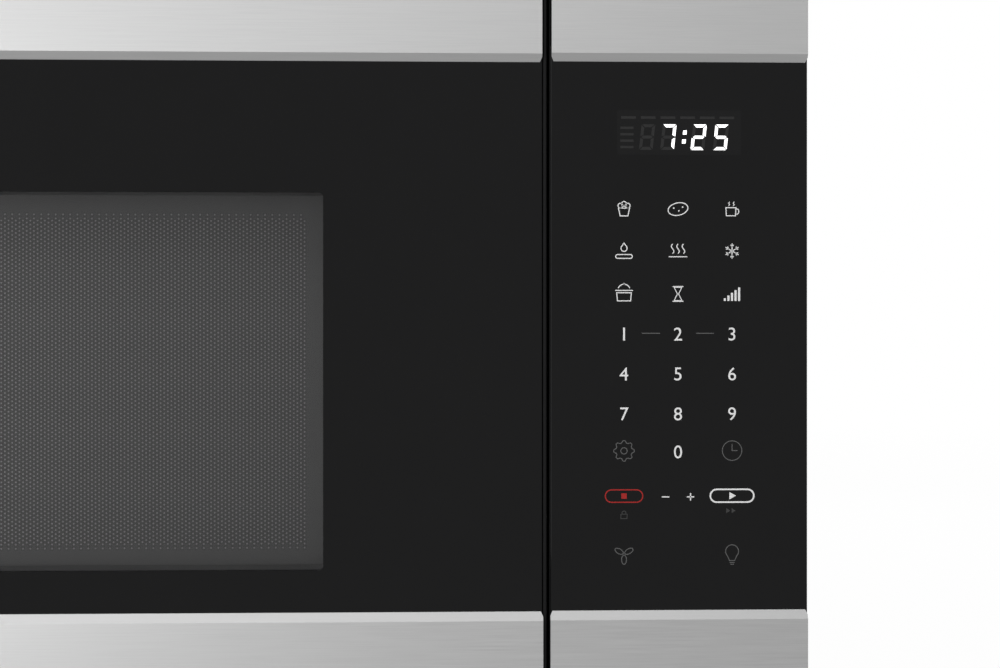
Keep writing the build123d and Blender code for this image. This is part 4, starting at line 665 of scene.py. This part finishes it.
class Marks:
    """Marks in the plane of the panel's glass, gathered as thin prisms into one mesh."""

    def __init__(self, thickness=mark_thickness):
        self.back = panel_glass_low[1]
        self.front = self.back - thickness
        self.points = []
        self.faces = []

    def fill(self, outline):
        """A filled shape, given as (x, z) points counter-clockwise as the viewer sees them."""
        n = len(outline)
        start = len(self.points)
        self.points += [(x, y, z) for y in (self.front, self.back) for x, z in outline]
        self.faces += [[start + k for k in face] for face in sheet_faces([list(range(n))], n, n)]

    def loop(self, outline, width):
        """A closed line of that width, centred on the outline."""
        n = len(outline)
        inner, outer = [], []
        for k in range(n):
            u, v = mitre(outline[k - 1], outline[k], outline[(k + 1) % n], width / 2)
            inner.append((outline[k][0] - u, outline[k][1] - v))
            outer.append((outline[k][0] + u, outline[k][1] + v))
        start = len(self.points)
        self.points += [(x, y, z) for y in (self.front, self.back) for x, z in inner + outer]
        back = 2 * n
        for k in range(n):
            m = (k + 1) % n
            a, b, c, d = start + k, start + m, start + n + m, start + n + k
            self.faces += [
                [a, b, c, d],
                [d + back, c + back, b + back, a + back],
                [b, a, a + back, b + back],
                [d, c, c + back, d + back],
            ]

    def line(self, path, width):
        """An open line of that width."""
        sides = []
        for k, here in enumerate(path):
            before, after = path[max(k - 1, 0)], path[min(k + 1, len(path) - 1)]
            if k == 0:
                before = (2 * here[0] - after[0], 2 * here[1] - after[1])
            if k == len(path) - 1:
                after = (2 * here[0] - before[0], 2 * here[1] - before[1])
            u, v = mitre(before, here, after, width / 2)
            sides.append(((here[0] - u, here[1] - v), (here[0] + u, here[1] + v)))
        for (a, b), (c, d) in zip(sides, sides[1:]):
            self.fill([b, d, c, a])

    def circle(self, x, z, radius, width, steps):
        self.loop(arc(x, z, radius, 0, 360, steps)[:-1], width)

    def dot(self, x, z, radius):
        self.fill(arc(x, z, radius, 0, 360, dot_steps)[:-1])

    def text(self, string, x, z, height):
        """Plain numerals, centred on a point."""
        curve = bpy.data.curves.new("numerals", "FONT")
        curve.body = string
        curve.align_x = "CENTER"
        curve.resolution_u = 5
        holder = bpy.data.objects.new("numerals", curve)
        bpy.context.scene.collection.objects.link(holder)
        graph = bpy.context.evaluated_depsgraph_get()
        mesh = bpy.data.meshes.new_from_object(holder.evaluated_get(graph))
        low = min(v.co.y for v in mesh.vertices)
        high = max(v.co.y for v in mesh.vertices)
        half = (low + high) / 2
        scale = height / (high - low)
        start = len(self.points)
        flat = [(x + v.co.x * scale, z + (v.co.y - half) * scale) for v in mesh.vertices]
        self.points += [(u, self.front, v) for u, v in flat]
        self.faces += [[start + k for k in face.vertices] for face in mesh.polygons]
        bpy.data.objects.remove(holder)
        bpy.data.meshes.remove(mesh)

    def finish(self, name, finish):
        add_piece(name, self.points, self.faces, [finish], "root")


def mitre(before, here, after, reach):
    """The offset at a corner of a line, on its right-hand side, cut short where the corner is sharp."""
    least_share = 0.4
    a = Vector((here[0] - before[0], here[1] - before[1])).normalized()
    b = Vector((after[0] - here[0], after[1] - here[1])).normalized()
    right = Vector((a.y, -a.x))
    normal = Vector((a.y + b.y, -a.x - b.x))
    turned_straight_back = normal.length < 1e-6
    if turned_straight_back:
        normal = right.copy()
    normal.normalize()
    share = max(least_share, normal.dot(right))
    return normal.x * reach / share, normal.y * reach / share


def ellipse(x, z, rx, rz, turn, steps):
    """Points of an ellipse with those half widths, turned by that many degrees."""
    c, s = cos(radians(turn)), sin(radians(turn))
    loop = [(rx * cos(2 * pi * k / steps), rz * sin(2 * pi * k / steps)) for k in range(steps)]
    return [(x + u * c - v * s, z + u * s + v * c) for u, v in loop]


def pill(x, z, width, height):
    """A rectangle whose two short sides are half circles, centred on a point."""
    r = height / 2
    half = width / 2 - r
    return arc(x + half, z, r, -90, 90, pill_steps) + arc(x - half, z, r, 90, 270, pill_steps)


def at(x, z, *points):
    """Points given from a middle, moved to where that middle lies."""
    return [(x + u, z + v) for u, v in points]


def draw_kernels(ink, x, z):
    """Three popped kernels over a tapered cup."""
    ink.loop(at(x, z, (-2.9, 0.4), (-2.0, -3.6), (2.0, -3.6), (2.9, 0.4)), pen)
    for u, v in ((-1.9, 1.7), (0.0, 2.6), (1.9, 1.7)):
        ink.circle(x + u, z + v, 1.25, pen, 14)


def draw_tuber(ink, x, z):
    """A whole potato with its eyes."""
    ink.loop(ellipse(x, z, 5.2, 3.2, 12, 28), pen)
    for u, v in ((-2.2, 0.5), (0.4, -0.9), (2.4, 1.0)):
        ink.dot(x + u, z + v, 0.42)


def draw_mug(ink, x, z):
    """A mug with its handle, and steam."""
    ink.loop(at(x, z, (-3.2, 0.8), (-3.0, -3.4), (1.8, -3.4), (2.0, 0.8)), pen)
    ink.line(arc(x + 2.0, z - 1.2, 1.5, 80, -80, 8), pen)
    for u in (-1.8, 0.6):
        ink.line(at(x, z, (u, 1.7), (u + 0.5, 2.4), (u, 3.1), (u + 0.5, 3.8)), thin_pen)


def draw_drop(ink, x, z):
    """A melting drop over a soft block."""
    ink.loop(at(x, z, (0, 4.0)) + arc(x, z + 1.3, 1.6, 150, 390, 14), pen)
    ink.loop(pill(x, z - 2.9, 8.6, 2.0), pen)


def draw_waves(ink, x, z):
    """Three rising waves of heat over a plate."""
    for u in (-2.8, 0.0, 2.8):
        ink.line([(x + u + 0.7 * sin(k * pi / 4), z - 1.4 + k * 0.62) for k in range(9)], pen)
    ink.line(at(x, z, (-4.8, -3.0), (4.8, -3.0)), pen)


def draw_flake(ink, x, z):
    """A snowflake of six arms, each with two twigs."""
    for k in range(6):
        turn = k * pi / 3 + pi / 6
        c, s = cos(turn), sin(turn)
        ink.line(at(x, z, (0, 0), (3.9 * c, 3.9 * s)), pen)
        for side in (-0.75, 0.75):
            u, v = cos(turn + side), sin(turn + side)
            ink.line(at(x, z, (2.2 * c, 2.2 * s), (2.2 * c + 1.3 * u, 2.2 * s + 1.3 * v)), thin_pen)


def draw_pot(ink, x, z):
    """A covered pot."""
    ink.loop(at(x, z, (-3.8, 0.6), (-3.4, -3.6), (3.4, -3.6), (3.8, 0.6)), pen)
    ink.line(at(x, z, (-4.6, 1.8), (4.6, 1.8)), pen)
    ink.line(arc(x, z + 1.8, 3.2, 160, 20, 10), pen)
    ink.dot(x, z + 5.1, 0.5)


def draw_glass_timer(ink, x, z):
    """An hourglass."""
    ink.line(at(x, z, (-2.8, 3.8), (2.8, 3.8)), pen)
    ink.line(at(x, z, (-2.8, -3.8), (2.8, -3.8)), pen)
    ink.loop(at(x, z, (-2.0, 3.4), (-0.3, 0), (-2.0, -3.4), (2.0, -3.4), (0.3, 0), (2.0, 3.4)), thin_pen)


def draw_bars(ink, x, z):
    """Five bars that rise to the right."""
    for k in range(5):
        left = -4.3 + k * 1.85
        ink.fill(at(x, z, *rectangle(left, -3.6, left + 1.1, -2.2 + k * 1.4)))


def draw_gear(ink, x, z):
    """A cog wheel with eight soft teeth."""
    steps = 64
    rim = []
    for k in range(steps):
        turn = 2 * pi * k / steps
        radius = 4.75 + 0.55 * max(-1, min(1, 2.2 * cos(8 * turn)))
        rim.append((x + radius * sin(turn), z + radius * cos(turn)))
    ink.loop(rim, thin_pen)
    ink.circle(x, z, 1.65, thin_pen, 20)


def draw_clock(ink, x, z):
    """A round clock face with two hands."""
    ink.circle(x, z, 5.05, thin_pen, 40)
    ink.line(at(x, z, (0, 3.4), (0, 0), (2.8, 0)), thin_pen)


def draw_stop(ink, x, z):
    """A square in a pill."""
    ink.loop(pill(x, z, 19.4, 6.4), key_pen)
    ink.fill(at(x, z, *rectangle(-1.4, -1.4, 1.4, 1.4)))


def draw_less_and_more(ink, x, z):
    """A minus sign, and a plus sign at its right."""
    apart, reach, rise = 6.5, 1.9, -0.5
    for u in (-apart, apart):
        ink.line(at(x + u, z, (-reach, rise), (reach, rise)), key_pen)
    ink.line(at(x + apart, z, (0, rise - reach), (0, rise + reach)), key_pen)


def draw_start(ink, x, z):
    """A triangle that points right, in a pill."""
    ink.loop(pill(x, z, 22.6, 6.6), bold_pen)
    ink.fill(at(x, z, (-1.4, -1.9), (2.0, 0), (-1.4, 1.9)))


def draw_lock(ink, x, z):
    """A small padlock."""
    ink.loop(at(x, z, *rectangle(-1.6, -1.9, 1.6, 0.3)), finest_pen)
    shackle = arc(x, z + 1.0, 1.0, 180, 0, 8)
    ink.line(at(x, z, (-1.0, 0.3)) + shackle + at(x, z, (1.0, 0.3)), finest_pen)


def draw_arrows(ink, x, z):
    """Two small arrow heads that point right."""
    for u in (-2.4, 0.4):
        ink.fill(at(x + u, z + 2, (-0.6, -1.3), (1.4, 0), (-0.6, 1.3)))


def draw_fan(ink, x, z):
    """Three blades about a middle."""
    for turn in (90, 210, 330):
        u, v = 2.9 * cos(radians(turn + 180)), 2.9 * sin(radians(turn + 180))
        ink.loop(ellipse(x + u, z + 0.6 + v, 2.4, 1.25, turn, 20), thin_pen)


def draw_bulb(ink, x, z):
    """A lamp bulb over two lines for its cap."""
    globe = arc(x, z + 1.8, 3.35, -45, 225, 22)
    ink.loop(globe + at(x, z, (-1.35, -3.0), (1.35, -3.0)), thin_pen)
    ink.line(at(x, z, (-1.3, -4.0), (1.3, -4.0)), thin_pen)
    ink.line(at(x, z, (-0.9, -4.9), (0.9, -4.9)), thin_pen)


def make_marks():
    """Nine programme signs, the digits 1 to 9 and 0, and the signs of the keys below them."""
    left, middle, right = mark_columns
    white, grey, faint, red = (Marks() for _ in range(4))
    programmes = (
        (draw_kernels, draw_tuber, draw_mug),
        (draw_drop, draw_waves, draw_flake),
        (draw_pot, draw_glass_timer, draw_bars),
    )
    for z, row in zip(programme_rows, programmes):
        for x, draw in zip(mark_columns, row):
            draw(white, x, z)
    for row, z in enumerate(digit_rows):
        for column, x in enumerate(mark_columns):
            white.text(str(3 * row + column + 1), x, z, digit_height)
    white.text("0", middle, zero_row, digit_height)
    dash_reach, dash_rise, dash_pen = 4.6, 0.4, 0.45
    for x in ((left + middle) / 2, (middle + right) / 2):
        grey.line(at(x, digit_rows[0], (-dash_reach, dash_rise), (dash_reach, dash_rise)), dash_pen)
    draw_gear(grey, left, zero_row + 0.6)
    draw_clock(grey, right, zero_row + 0.6)
    draw_stop(red, left, start_row)
    draw_less_and_more(white, middle, start_row)
    draw_start(white, right, start_row)
    draw_lock(faint, left, second_row)
    draw_arrows(faint, right, second_row)
    draw_fan(grey, left, fan_row)
    draw_bulb(grey, right, fan_row)
    white.finish("white_marks", "white_print")
    grey.finish("grey_marks", "grey_print")
    faint.finish("faint_marks", "faint_print")
    red.finish("red_marks", "red_print")


# The clock in the display


def segment(name):
    """One of the seven segments, in the digit's own upright box."""
    w, h, t, g = clock_digit_width, clock_digit_height, segment_width, segment_gap
    m = h / 2
    shapes = {
        "a": [(t + g, h - t), (w - t - g, h - t), (w - g, h), (g, h)],
        "d": [(g, 0), (w - g, 0), (w - t - g, t), (t + g, t)],
        "f": [(0, m + g), (t, m + t / 2 + g), (t, h - t - g), (0, h - g)],
        "e": [(0, g), (t, t + g), (t, m - t / 2 - g), (0, m - g)],
        "g": [
            (t * 0.4, m), (t, m - t / 2), (w - t, m - t / 2),
            (w - t * 0.4, m), (w - t, m + t / 2), (t, m + t / 2),
        ],
    }
    mirrored = {"b": "f", "c": "e"}
    if name in mirrored:
        return [(w - x, z) for x, z in reversed(shapes[mirrored[name]])]
    return shapes[name]


def make_clock():
    """A clock of three lit digits, with its unlit segments and bars just visible round them."""
    base = clock_base
    lit = Marks(2 * mark_thickness)
    unlit = Marks(1.5 * mark_thickness)
    for start, digit in clock_digits:
        for name in "abcdefg":
            outline = [(start + x + z * clock_slant, base + z) for x, z in segment(name)]
            on = name in segments_lit.get(digit, "")
            (lit if on else unlit).fill(outline)
    for z in colon_rows:
        lit.fill(at(colon_left + z * clock_slant, base + z, *colon_dot))
    left, right, low, height, pitch = 281.6, 288.4, 0.8, 1.2, 3.3
    for row in range(4):
        z = base + low + row * pitch
        unlit.fill(rectangle(left, z, right, z + height))
    left, low, width, high, pitch = 282.0, 16, 7.6, 17.3, 10.2
    for column in range(6):
        x = left + column * pitch
        unlit.fill(rectangle(x, base + low, x + width, base + high))
    lit.finish("clock_digits", "lit_segments")
    unlit.finish("clock_unlit_segments", "unlit_segments")
    tint = Marks(mark_thickness / 2)
    tint.fill(rectangle(*display_window))
    tint.finish("display_window", "display_tint")


bpy.context.scene.view_settings.view_transform = "Standard"
make_camera()
make_world()
make_floor()
make_lamps()
make_front_materials()
make_print_materials()
make_body_materials()
finish_nodes()
coat_window_tunnel()
make_door_glass()
make_panel_glass()
make_screen()
make_spring()
make_marks()
make_clock()
